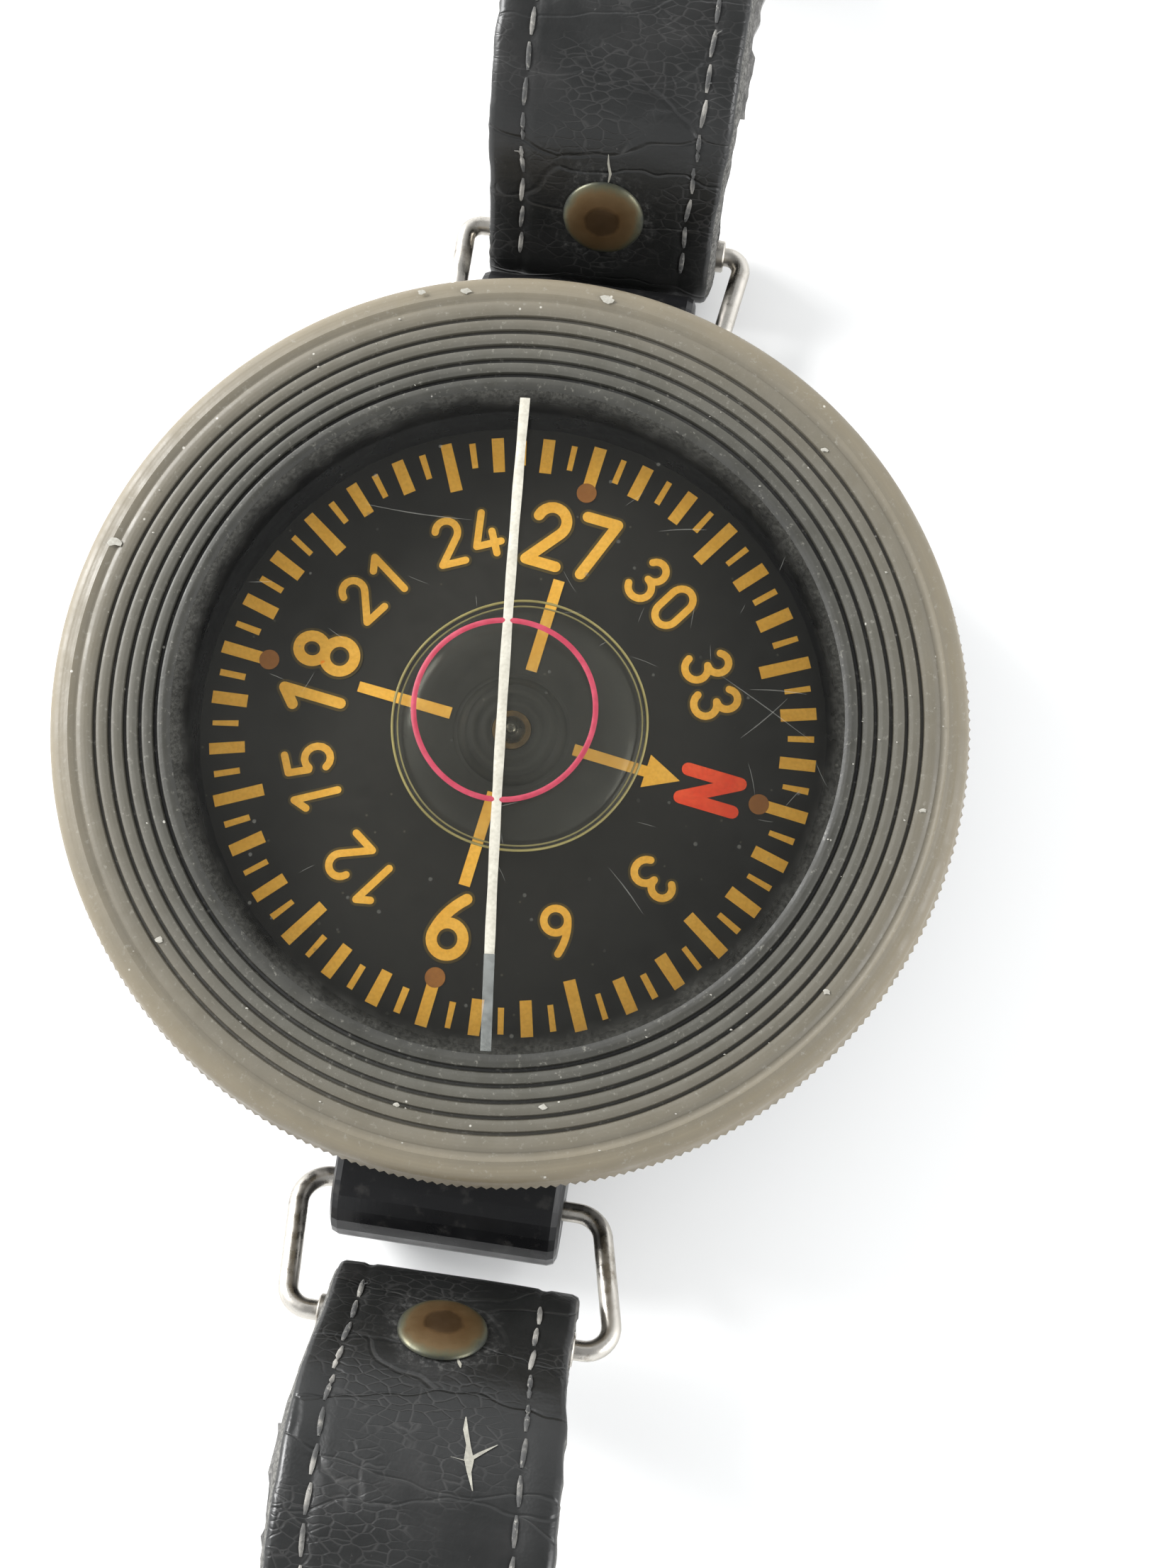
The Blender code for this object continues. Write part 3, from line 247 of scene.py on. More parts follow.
def card_material():
    """Black painted card: fine grain, and faint turned rings on the hub."""
    s = Surface("card_black")
    r = s.radius()
    rings = s.math("SINE", s.times(r, 7800.0))
    on_hub = s.span(r, 3.9 * MM, 4.0 * MM, 1.0, 0.0)
    speck = s.span(s.cells(620), 0.035, 0.07, 1.0, 0.0)
    base = s.blend(s.noise(800, 4), (0.008, 0.0075, 0.006), (0.016, 0.015, 0.012))
    ring_share = s.times(s.span(rings, 0.1, 0.9), s.times(on_hub, 0.6))
    colour = s.blend(ring_share, base, (0.035, 0.033, 0.028))
    colour = s.blend(s.times(speck, 0.35), colour, (0.2, 0.18, 0.14))
    normal = s.bump(s.times(rings, on_hub), 0.4, 0.00006)
    normal = s.bump(s.noise(2200, 3), 0.1, 0.00004, normal)
    return s.finish(colour, s.varied(s.noise(600), 0.42, 0.6), normal)


def paint_material(name, base, pale, deep, painted_glow=0.0):
    """Aged paint: patchy, slightly grainy; painted_glow sets a painted glow, an emission that stands in for
    light the paint does not get.
    """
    s = Surface(name)
    patch = s.span(s.noise(700, 4, 0.6), 0.35, 0.7)
    grain = s.span(s.noise(4200, 3), 0.35, 0.7)
    colour = s.blend(patch, base, pale)
    colour = s.blend(s.times(grain, 0.35), colour, deep)
    normal = s.bump(s.noise(3000, 3), 0.25, 0.00004)
    return s.finish(colour, s.span(patch, 0.0, 1.0, 0.5, 0.65), normal, Emission_Color=colour,
                    Emission_Strength=painted_glow)


def leather_material(name, scuffs):
    """Satin black leather with fine grain and wrinkles; each scuff (middle, radius) is a dulled patch."""
    s = Surface(name)
    broad = s.noise(120, 4, 0.6)
    warped = s.warped(420.0, 0.9 * MM)
    across = s.add("Mapping", {"Vector": warped, "Scale": (0.6, 1.3, 1.0)}).outputs["Vector"]
    crease = s.cells(1350, "DISTANCE_TO_EDGE", across)
    pores = s.cells(4200, "F1", warped)
    wrinkle = s.cells(230, "DISTANCE_TO_EDGE", s.add("Mapping", {
        "Vector": s.warped(160.0, 3.0 * MM), "Scale": (0.3, 1.1, 0.8)}).outputs["Vector"])
    folds = s.noise(260, 3, coords=s.stretched((0.3, 2.2, 1.0)))
    worn = s.span(broad, 0.48, 0.75)
    creased = s.span(s.noise(170, 3), 0.42, 0.62)
    crease_line = s.times(s.span(crease, 0.0, 0.07, 1.0, 0.0), creased)
    long_line = s.times(s.span(wrinkle, 0.0, 0.012, 1.0, 0.0), s.span(s.noise(210, 3), 0.46, 0.6))
    colour = s.blend(worn, (0.0085, 0.0088, 0.0085), (0.016, 0.0155, 0.015))
    colour = s.blend(s.times(crease_line, 0.55), colour, (0.036, 0.035, 0.034))
    colour = s.blend(s.times(long_line, 0.4), colour, (0.05, 0.049, 0.047))
    marks = s.span(s.noise(2100, 5, 0.7, coords=s.stretched((1.6, 0.8, 1.0))), 0.66, 0.76)
    colour = s.blend(s.times(marks, 0.3), colour, (0.13, 0.127, 0.12))
    rough = s.varied(s.noise(210, 4, 0.6), 0.3, 0.46)
    for middle, radius in scuffs:
        ragged = s.span(s.noise(700, 4), 0.2, 0.8, -0.8 * MM, 0.8 * MM)
        near = s.span(s.math("ADD", s.distance(middle), ragged), 0.6 * radius, radius, 1.0, 0.0)
        fleck = s.span(s.noise(2600, 4, 0.7), 0.46, 0.72)
        colour = s.blend(s.times(near, s.times(fleck, 0.6)), colour, (0.085, 0.084, 0.08))
        rough = s.math("ADD", rough, s.times(near, 0.16), clamp=True)
    normal = s.bump(s.times(s.span(crease, 0.0, 0.12, 1.0, 0.0), creased), 0.3, -0.00006)
    normal = s.bump(s.span(wrinkle, 0.0, 0.03), 0.4, 0.00012, normal)
    normal = s.bump(pores, 0.16, 0.00004, normal)
    normal = s.bump(folds, 0.4, 0.0002, normal)
    return s.finish(colour, rough, normal, Specular_IOR_Level=0.42)


def raw_edge_material():
    """Cut edge of the leather: grey, fibrous."""
    s = Surface("raw_edge")
    fibre = s.noise(3000, 5, 0.75)
    colour = s.blend(s.span(fibre, 0.35, 0.7), (0.04, 0.039, 0.036), (0.2, 0.195, 0.18))
    normal = s.bump(fibre, 0.9, 0.0002)
    return s.finish(colour, s.varied(fibre, 0.8, 0.95), normal)


def suede_material():
    s = Surface("grey_suede")
    fibre = s.noise(2600, 5, 0.75, coords=s.stretched((1.0, 0.5, 1.0)))
    patch = s.noise(260, 4)
    colour = s.blend(s.span(patch, 0.35, 0.7), (0.085, 0.083, 0.08), (0.2, 0.195, 0.185))
    colour = s.blend(s.times(s.span(fibre, 0.45, 0.7), 0.6), colour, (0.36, 0.35, 0.33))
    normal = s.bump(fibre, 0.8, 0.0002)
    return s.finish(colour, s.varied(fibre, 0.85, 0.98), normal, Sheen_Weight=0.3)


def thread_material():
    s = Surface("stitch_thread")
    twist = s.noise(3200, 4, 0.7)
    colour = s.blend(s.span(s.noise(420, 3), 0.44, 0.64), (0.05, 0.05, 0.049), (0.23, 0.22, 0.2))
    colour = s.blend(s.times(s.span(twist, 0.55, 0.75), 0.5), colour, (0.5, 0.48, 0.43))
    normal = s.bump(twist, 0.6, 0.0001)
    return s.finish(colour, s.varied(twist, 0.75, 0.95), normal)


def shell_material():
    """The housing outside the window: smoky and dark over the rings, paler and browner to the edge, with
    near-black painted shade on the ring surfaces lying below the land, in the grooves.
    """
    s = Surface("smoked_shell")
    r = s.times(s.radius(), 1000.0)
    patch = s.noise(240, 4, 0.6)
    wander = s.math("ADD", r, s.times(s.math("SUBTRACT", patch, 0.5), 1.6))
    share = s.math("DIVIDE", s.math("SUBTRACT", wander, 21.0), 9.2, clamp=True)
    colour = s.ramp(share, [(0.0, (0.012, 0.012, 0.01)), (0.12, (0.03, 0.029, 0.023)),
                            (0.3, (0.062, 0.059, 0.047)), (0.56, (0.088, 0.08, 0.061)),
                            (0.72, (0.12, 0.106, 0.078)), (0.88, (0.155, 0.132, 0.09)),
                            (1.0, (0.17, 0.138, 0.088))])
    position = s.add("SeparateXYZ", {0: s.object_coords}).outputs
    low = s.span(position["Z"], 19.1 * MM, 19.5 * MM, 1.0, 0.0)
    on_rings = s.span(r, 27.9, 28.2, 1.0, 0.0)
    # Near-black painted shade where the rings' grooves sink below the land.
    colour = s.blend(s.times(s.times(low, on_rings), 0.9), colour, (0.006, 0.006, 0.006))
    streak = s.noise(900, 3, coords=s.stretched((1.0, 1.0, 0.08)))
    wall = s.span(position["Z"], 16.6 * MM, 17.4 * MM, 1.0, 0.0)
    colour = s.blend(s.times(s.span(streak, 0.45, 0.62), s.times(wall, 0.5)), colour,
                     (0.07, 0.054, 0.032))
    dust = s.span(s.noise(2300, 5, 0.75), 0.56, 0.72)
    colour = s.blend(s.times(dust, 0.45), colour, (0.26, 0.25, 0.215))
    glint = s.span(s.cells(520), 0.03, 0.06, 1.0, 0.0)
    colour = s.blend(s.times(glint, 0.6), colour, (0.6, 0.58, 0.52))
    turned = s.math("SINE", s.times(s.radius(), 26000.0))
    normal = s.bump(turned, 0.05, 0.00003)
    normal = s.bump(s.noise(1700, 4, 0.65), 0.28, 0.00007, normal)
    rough = s.span(s.noise(520, 4), 0.3, 0.72, 0.42, 0.62)
    return s.finish(colour, rough, normal)


def window_material():
    """Clear domed window: faint gloss, dust thickening to a frosted band at its rim, and specks."""
    s = Surface("clear_window")
    r = s.times(s.radius(), 1000.0)
    cloud = s.noise(420, 5, 0.7)
    grain = s.noise(3600, 4, 0.75)
    rim = s.span(s.math("ADD", r, s.times(s.math("SUBTRACT", cloud, 0.5), 1.6)), 20.2, 22.0)
    specks = s.span(s.cells(430), 0.035, 0.075, 1.0, 0.0)
    film = s.span(s.noise(60, 3), 0.35, 0.75, 0.004, 0.03)
    dust = s.math("ADD", film, s.times(rim, s.span(grain, 0.35, 0.7, 0.2, 0.5)))
    dust = s.math("ADD", dust, s.times(specks, 0.35), clamp=True)
    clear = s.add("BsdfTransparent", {"Color": (0.97, 0.965, 0.94)}).outputs[0]
    normal = s.bump(s.noise(900, 3), 0.03, 0.00004)
    gloss = s.add("BsdfGlossy", {"Color": (1.0, 1.0, 1.0), "Roughness": 0.06, "Normal": normal}).outputs[0]
    fresnel = s.add("Fresnel", {"IOR": 1.25}).outputs[0]
    glass = s.mix(fresnel, clear, gloss)
    haze = s.principled(Base_Color=(0.085, 0.083, 0.07), Roughness=0.7)
    return s.done(s.mix(dust, glass, haze))


def film_material(name, colour, share):
    """A thin stain or film of that strength, patchy, over what lies behind it."""
    s = Surface(name)
    patch = s.span(s.noise(900, 4, 0.7), 0.3, 0.7, 0.55 * share, share)
    clear = s.add("BsdfTransparent").outputs[0]
    body = s.principled(Base_Color=colour, Roughness=0.35)
    return s.done(s.mix(patch, clear, body))


def floor_material():
    s = Surface("pale_floor")
    colour = s.blend(s.noise(9, 3), (0.86, 0.86, 0.855), (0.88, 0.88, 0.875))
    return s.done(s.principled(Base_Color=colour, Roughness=0.8, Specular_IOR_Level=0.1))


# ---------------------------------------------------------------- mesh helpers

def bridge(bm, a, b, closed=True):
    """Quads between two equal rows of vertices."""
    for k in range(len(a) if closed else len(a) - 1):
        j = (k + 1) % len(a)
        bm.faces.new((a[k], a[j], b[j], b[k]))


def finish_mesh(bm, name, smooth_angle=math.radians(35)):
    bmesh.ops.recalc_face_normals(bm, faces=bm.faces)
    for edge in bm.edges:
        edge.smooth = len(edge.link_faces) == 2 and edge.calc_face_angle(math.pi) < smooth_angle
    for face in bm.faces:
        face.smooth = True
    mesh = bpy.data.meshes.new(name)
    bm.to_mesh(mesh)
    bm.free()
    return mesh


def linked(name, data):
    obj = bpy.data.objects.new(name, data)
    bpy.context.scene.collection.objects.link(obj)
    return obj


def piece(name, mesh, material, body, replaces=(), place=None):
    """A new visible piece on a CAD body."""
    obj = linked(name, mesh)
    for one in material if isinstance(material, list) else [material]:
        mesh.materials.append(one)
    if place is not None:
        obj.matrix_world = place
    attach(obj, body)
    if replaces:
        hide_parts(*replaces)
    return obj


def revolve(name, outline, segments, ripple=None):
    """Closed turned body from (r, z) points; ripple(i, r, z) may change a point's radius at facet i."""
    bm = bmesh.new()
    rings = []
    for r, z in outline:
        if r < 1e-7:
            rings.append([bm.verts.new((0.0, 0.0, z))])
            continue
        ring = []
        for i in range(segments):
            a = TAU * i / segments
            rr = ripple(i, r, z) if ripple else r
            ring.append(bm.verts.new((rr * math.cos(a), rr * math.sin(a), z)))
        rings.append(ring)
    closed = rings[0][0].co != rings[-1][0].co and outline[0][0] > 1e-7
    pairs = list(zip(rings, rings[1:] + ([rings[0]] if closed else [])))
    for a, b in pairs[: len(rings) if closed else len(rings) - 1]:
        for i in range(segments):
            j = (i + 1) % segments
            corners = [a[i % len(a)], a[j % len(a)], b[j % len(b)], b[i % len(b)]]
            corners = list(dict.fromkeys(corners))
            if len(corners) > 2:
                bm.faces.new(corners)
    return finish_mesh(bm, name)


def arc(centre, radius, start, end, steps):
    return [(centre[0] + radius * math.cos(start + (end - start) * i / steps),
             centre[1] + radius * math.sin(start + (end - start) * i / steps)) for i in range(steps + 1)]


def sweep(name, points, radius, closed, sides):
    """Round wire along points, with a parallel frame and flat closed ends."""
    count = len(points)
    points = [Vector(p) for p in points]
    tangents = []
    for i in range(count):
        before = points[(i - 1) % count] if closed or i else points[i]
        after = points[(i + 1) % count] if closed or i < count - 1 else points[i]
        tangents.append((after - before).normalized())
    normal = tangents[0].orthogonal().normalized()
    if abs(normal.z) < 0.9 and abs(tangents[0].z) < 0.9:
        normal = (Vector((0, 0, 1)) - tangents[0] * tangents[0].z).normalized()
    bm = bmesh.new()
    rings = []
    for i in range(count):
        normal = (normal - tangents[i] * normal.dot(tangents[i])).normalized()
        side = tangents[i].cross(normal)
        ring = []
        for k in range(sides):
            a = TAU * k / sides
            offset = normal * math.cos(a) * radius + side * math.sin(a) * radius
            ring.append(bm.verts.new(points[i] + offset))
        rings.append(ring)
    for i in range(count if closed else count - 1):
        bridge(bm, rings[i], rings[(i + 1) % count])
    if not closed:
        bm.faces.new(rings[0])
        bm.faces.new(rings[-1])
    return finish_mesh(bm, name, math.radians(50))


def rounded_loop(corners, radii, steps=10, between=8):
    """Points round a closed polygon with rounded corners, in the XY plane."""
    points = []
    count = len(corners)
    for i, radius in enumerate(radii):
        here = Vector(corners[i])
        back = (Vector(corners[i - 1]) - here).normalized()
        on = (Vector(corners[(i + 1) % count]) - here).normalized()
        half = back.angle(on) / 2
        start = here + back * radius / math.tan(half)
        end = here + on * radius / math.tan(half)
        centre = here + (back + on).normalized() * radius / math.sin(half)
        a = start - centre
        turn = a.angle_signed(end - centre)
        if points:
            last = Vector(points[-1])
            points += [tuple(last.lerp(start, k / between)) for k in range(1, between)]
        points += [tuple(centre + Matrix.Rotation(-turn * k / steps, 2) @ a) for k in range(steps + 1)]
    last, first = Vector(points[-1]), Vector(points[0])
    points += [tuple(last.lerp(first, k / between)) for k in range(1, between)]
    return points


# ---------------------------------------------------------------- sizes shared with the CAD model

CAPSULE_RADIUS = 30.0 * MM
LAND_Z = 19.4 * MM
WIDEST_Z = 17.0 * MM
SKIRT_BOTTOM_Z = 11.2 * MM
SKIRT_INNER = 27.8 * MM
WINDOW_RADIUS = 21.6 * MM
SHOULDER_RADIUS = 28.6 * MM
DOME_RISE = 2.0 * MM
DOME_THICKNESS = 1.3 * MM
CARD_TOP_Z = 13.0 * MM
CARD_NORTH = math.radians(98.5)
HINGE_Y = 31.1 * MM
HINGE_Z = 4.4 * MM
WIRE_RADIUS = 0.68 * MM
SLEEVE_RADIUS = 1.15 * MM
LUG_WIDTH = 15.6 * MM
LOOP_WIDTH = 16.6 * MM
STRAP_WIDTH = 17.6 * MM
LEATHER = 1.8 * MM
LINING = 0.9 * MM
LAYER_GAP = 0.1 * MM
LOOP_GAP = 0.55 * MM
STRAP_RISE = math.radians(58.0)
TAIL_LENGTH = 11.0 * MM
TAIL_MEETS = 3.4 * MM
WIDEN_LENGTH = 10.0 * MM
RIVET_FROM_BAR = 4.6 * MM
RIVET_CAP_RADIUS = 2.9 * MM
TIP_LENGTH = 9.0 * MM
BUCKLE_WIRE = 0.8 * MM
BUCKLE_LENGTH = 11.0 * MM
PRONG_RADIUS = 0.65 * MM
KEEPER_LENGTH = 5.0 * MM
KEEPER_THICKNESS = 1.1 * MM
KEEPER_CLEARANCE = 0.4 * MM
FIXED_KEEPER_FROM_BAR = 9 * MM
SLIDING_KEEPER_FROM_BAR = 22 * MM
BUCKLE_SIDE_CLEARANCE = 0.6 * MM
BUCKLE_CORNER = 1.5 * MM
PRONG_SLOT_CLEARANCE = 0.5 * MM
PUNCH_COUNT = 6
PUNCH_PITCH = 8 * MM
PUNCH_RADIUS = 1.2 * MM
PUNCH_FROM_TIP = 14 * MM
HUB_HEIGHT = 0.6 * MM
LUBBER_TURN = math.radians(5.3)
LUBBER_HALF_WIDTH = 0.315 * MM
LUBBER_END = 21.0 * MM
LUBBER_WORN_FROM = -15.4 * MM
LEVEL_RING_RADIUS = 5.75 * MM
BUBBLE_RADIUS = 8.0 * MM
SMALL_FIGURES = (13.7 * MM, 3.25 * MM, 0.25 * MM)    # radius, height, half the stroke's width
LARGE_FIGURES = (13.6 * MM, 4.3 * MM, 0.37 * MM)
CARD_RIM = 20.35 * MM
STITCH_ACROSS = 0.708         # of half the strap's width
STITCH_PITCH = 2.2 * MM
STITCH_LENGTH = 1.75 * MM


class Side:
    def __init__(self, name, sign, ring_angle, ring_length, ring_width, skew, straight, crest, fall,
                 foot, flat, drift):
        self.name = name
        self.sign = sign
        self.ring_angle = math.radians(ring_angle)
        self.ring_length = ring_length * MM
        self.ring_width = ring_width * MM
        self.skew = skew * MM
        self.straight = straight * MM
        self.crest = crest * MM
        self.fall = math.radians(fall)
        self.foot = foot * MM
        self.flat = flat * MM
        self.drift = drift * MM
        self.frame = Matrix.Rotation(0.0 if sign > 0 else math.pi, 4, "Z")
        self.ring_place = (self.frame @ Matrix.Translation((0, HINGE_Y, HINGE_Z))
                           @ Matrix.Rotation(self.ring_angle, 4, "X"))
        self.bar_z = HINGE_Z + self.ring_length * math.sin(self.ring_angle)
        self.strap_place = (self.ring_place @ Matrix.Translation((self.skew, self.ring_length, 0))
                            @ Matrix.Rotation(-self.ring_angle, 4, "X"))
        self.ring_body = name + "_side_ring"
        self.strap_body = name + "_side_strap"


BUCKLE_SIDE = Side("buckle", 1, -6.0, 7.8, 22.0, 0.5, 5.5, 14.5, 40.0, 14.0, 32.0, 0.0)
HOLES_SIDE = Side("holes", -1, 27.0, 9.6, 23.4, -1.6, 5.5, 16.0, 46.0, 18.0, 62.0, -1.9)


# ---------------------------------------------------------------- capsule

def dome_z(r, depth=0.0):
    radius = (WINDOW_RADIUS ** 2 + DOME_RISE ** 2) / (2 * DOME_RISE)
    return LAND_Z + DOME_RISE - radius - depth + math.sqrt(radius ** 2 - r ** 2)


def housing():
    """Transparent housing as one body: window, turned rings, sloping shoulder and finely knurled edge."""
    dome = [(WINDOW_RADIUS * i / 24, dome_z(WINDOW_RADIUS * i / 24)) for i in range(24)]
    ridge = LAND_Z + 0.18 * MM
    rings = [(WINDOW_RADIUS, LAND_Z), (WINDOW_RADIUS + 0.35 * MM, ridge)]
    grooves = [(22.58, 0.4, 0.19), (23.56, 0.36, 0.18), (24.54, 0.36, 0.18), (25.52, 0.34, 0.17),
               (26.5, 0.32, 0.17), (27.75, 0.16, 0.22)]
    for r, depth, half in grooves:
        r, depth, half = r * MM, depth * MM, half * MM
        rings += [(r - 2.2 * half, ridge), (r - half, ridge - 0.06 * MM), (r - 0.4 * half, ridge - depth),
                  (r + 0.4 * half, ridge - depth), (r + half, ridge - 0.09 * MM),
                  (r + 2.0 * half, ridge - 0.03 * MM)]
    edge = CAPSULE_RADIUS - 0.45 * MM
    over = edge - SHOULDER_RADIUS
    shoulder = arc((SHOULDER_RADIUS, LAND_Z - over), over, math.pi / 2, 0.0, 8)
    wall_top = WIDEST_Z - 0.5 * MM
    wall = [(CAPSULE_RADIUS - 0.2 * MM, WIDEST_Z + 0.1 * MM), (CAPSULE_RADIUS, wall_top)]
    wall += [(CAPSULE_RADIUS, wall_top + (SKIRT_BOTTOM_Z + 0.5 * MM - wall_top) * k / 5) for k in range(1, 6)]
    lower = [(CAPSULE_RADIUS - 0.35 * MM, SKIRT_BOTTOM_Z), (SKIRT_INNER, SKIRT_BOTTOM_Z),
             (SKIRT_INNER, 14.2 * MM), (24.8 * MM, 14.2 * MM), (24.8 * MM, 16.6 * MM), (22.5 * MM, 16.6 * MM),
             (22.5 * MM, 17.6 * MM)]
    inner = WINDOW_RADIUS - 0.4 * MM
    inside = [(inner * i / 10, dome_z(inner * i / 10, DOME_THICKNESS)) for i in range(10, -1, -1)]

    def knurl(i, r, z):
        if r > 29.7 * MM and z < WIDEST_Z + 0.05 * MM:
            tooth = 0.16 * MM * (i % 2)
            return r - tooth - 0.05 * MM * noise.noise((i * 0.11, z * 300, 0.0)) ** 2
        return r

    mesh = revolve("capsule_shell", dome + rings + shoulder + wall + lower + inside, 600, knurl)
    for polygon in mesh.polygons:
        r = math.hypot(polygon.center.x, polygon.center.y)
        if r < WINDOW_RADIUS + 0.1 * MM and polygon.center.z > 17.0 * MM:
            polygon.material_index = 1
    piece("capsule_shell", mesh, [shell_material(), window_material()], "capsule",
          ["capsule_housing"])


def band_on_dome(name, points, half_width, lift):
    """Thin painted band on the window along (x, y) points, following the dome."""
    bm = bmesh.new()
    rows = []
    for i, (x, y) in enumerate(points):
        a = Vector(points[max(i - 1, 0)])
        b = Vector(points[min(i + 1, len(points) - 1)])
        side = (b - a).normalized().orthogonal()
        half = half_width(i / (len(points) - 1))
        row = []
        for share in (-1.0, -0.5, 0.0, 0.5, 1.0):
            p = Vector((x, y)) + side * half * share
            row.append(bm.verts.new((p.x, p.y, surface_z(p.length) + lift * (1 - 0.6 * share * share))))
        rows.append(row)
    for a, b in zip(rows, rows[1:]):
        bridge(bm, a, b, False)
    return finish_mesh(bm, name)


def surface_z(r):
    return dome_z(r) if r < WINDOW_RADIUS else LAND_Z + 0.2 * MM


def window_marks():
    """White lubber line with its worn end, red level ring, air bubble, scratches and chips."""
    along = Vector((-math.sin(LUBBER_TURN), math.cos(LUBBER_TURN)))
    aside = Vector((along.y, -along.x))

    def line(start, end, steps):
        points = []
        for i in range(steps + 1):
            t = start + (end - start) * i / steps
            bow = -0.13 * MM * (1 - (t / LUBBER_END) ** 2)
            p = along * t + aside * bow
            points.append((p.x, p.y))
        return points

    white = paint_material("line_white", (0.4, 0.38, 0.32), (0.48, 0.46, 0.39), (0.24, 0.22, 0.17))
    mesh = band_on_dome("lubber_line_paint", line(LUBBER_WORN_FROM, LUBBER_END, 60),
                        lambda t: LUBBER_HALF_WIDTH * (1 + 0.05 * math.sin(40 * t)), 0.07 * MM)
    piece("lubber_line_paint", mesh, white, "capsule", ["lubber_line"])
    mesh = band_on_dome("lubber_line_worn", line(-21.4 * MM, LUBBER_WORN_FROM, 16),
                        lambda t: 0.34 * MM, 0.05 * MM)
    piece("lubber_line_worn", mesh, film_material("worn_paint", (0.42, 0.44, 0.42), 0.42), "capsule")
    red = paint_material("ring_red", (0.3, 0.02, 0.045), (0.36, 0.035, 0.065), (0.18, 0.014, 0.025))
    circle = []
    for i in range(181):
        a = TAU * i / 180
        r = LEVEL_RING_RADIUS + 0.03 * MM * math.sin(3 * a)
        circle.append((r * math.cos(a), r * math.sin(a)))
    mesh = band_on_dome("level_ring_paint", circle, lambda t: 0.175 * MM, 0.06 * MM)
    piece("level_ring_paint", mesh, red, "capsule", ["level_ring"])
    bubble()
    scratches()


def bubble():
    """Flat air bubble under the dome: a double meniscus line round a disc with a patchy grey painted over it
    as a painted reflection.
    """
    centre = Vector((0.95, -0.6)) * MM
    depth = DOME_THICKNESS + 0.25 * MM
    bm = bmesh.new()
    rows = []
    for k in range(25):
        r = BUBBLE_RADIUS * k / 24
        rows.append([(r, dome_z(r, depth) - 0.8 * MM * max(0.0, (r - 5.2 * MM) / (2.8 * MM)) ** 2.2)])
    rings = []
    for row in rows:
        r, z = row[0]
        if r == 0.0:
            rings.append([bm.verts.new((centre.x, centre.y, z))])
            continue
        ring = []
        for i in range(96):
            a = TAU * i / 96
            rr = r * (1 + 0.006 * math.sin(2 * a + 0.6))
            ring.append(bm.verts.new((centre.x + rr * math.cos(a), centre.y + rr * math.sin(a), z)))
        rings.append(ring)
    for a, b in zip(rings, rings[1:]):
        for i in range(96):
            j = (i + 1) % 96
            corners = list(dict.fromkeys([a[i % len(a)], b[i], b[j], a[j % len(a)]]))
            bm.faces.new(corners)
    mesh = finish_mesh(bm, "air_bubble")
    s = Surface("bubble_film_painted_reflection")
    clear = s.add("BsdfTransparent", {"Color": (0.99, 0.99, 0.98)}).outputs[0]
    gloss = s.add("BsdfGlossy", {"Color": (0.9, 0.92, 0.86), "Roughness": 0.16}).outputs[0]
    share = s.add("LayerWeight", {"Blend": 0.12}).outputs["Facing"]
    film = s.mix(s.span(share, 0.0, 1.0, 0.012, 0.45), clear, gloss)
    # Patchy diffuse grey over the bubble: a painted reflection standing in for the light its surface
    # reflects.
    haze = s.principled(Base_Color=(0.14, 0.145, 0.13), Roughness=0.5)
    film = s.mix(s.varied(s.noise(140, 3), 0.16, 0.42), film, haze)
    piece("air_bubble", mesh, s.done(film), "capsule")
    for name, r, radius, tint, drop in (("bubble_edge_outer", 8.12, 0.085, (0.75, 0.66, 0.28), 0.0),
                                        ("bubble_edge_inner", 7.8, 0.06, (0.6, 0.54, 0.26), 0.2)):
        points = []
        for i in range(120):
            a = TAU * i / 120
            rr = r * MM * (1 + 0.006 * math.sin(2 * a + 0.6) + 0.004 * math.sin(5 * a))
            points.append((centre.x + rr * math.cos(a), centre.y + rr * math.sin(a),
                           dome_z(BUBBLE_RADIUS, depth) - drop * MM))
        t = Surface(name + "_glint")
        clear = t.add("BsdfTransparent").outputs[0]
        body = t.principled(Base_Color=tint, Roughness=0.2, Specular_IOR_Level=0.7)
        share = t.span(t.noise(150, 2), 0.35, 0.65, 0.7, 1.0)
        piece(name, sweep(name, points, radius * MM, True, 8), t.done(t.mix(share, clear, body)), "capsule")


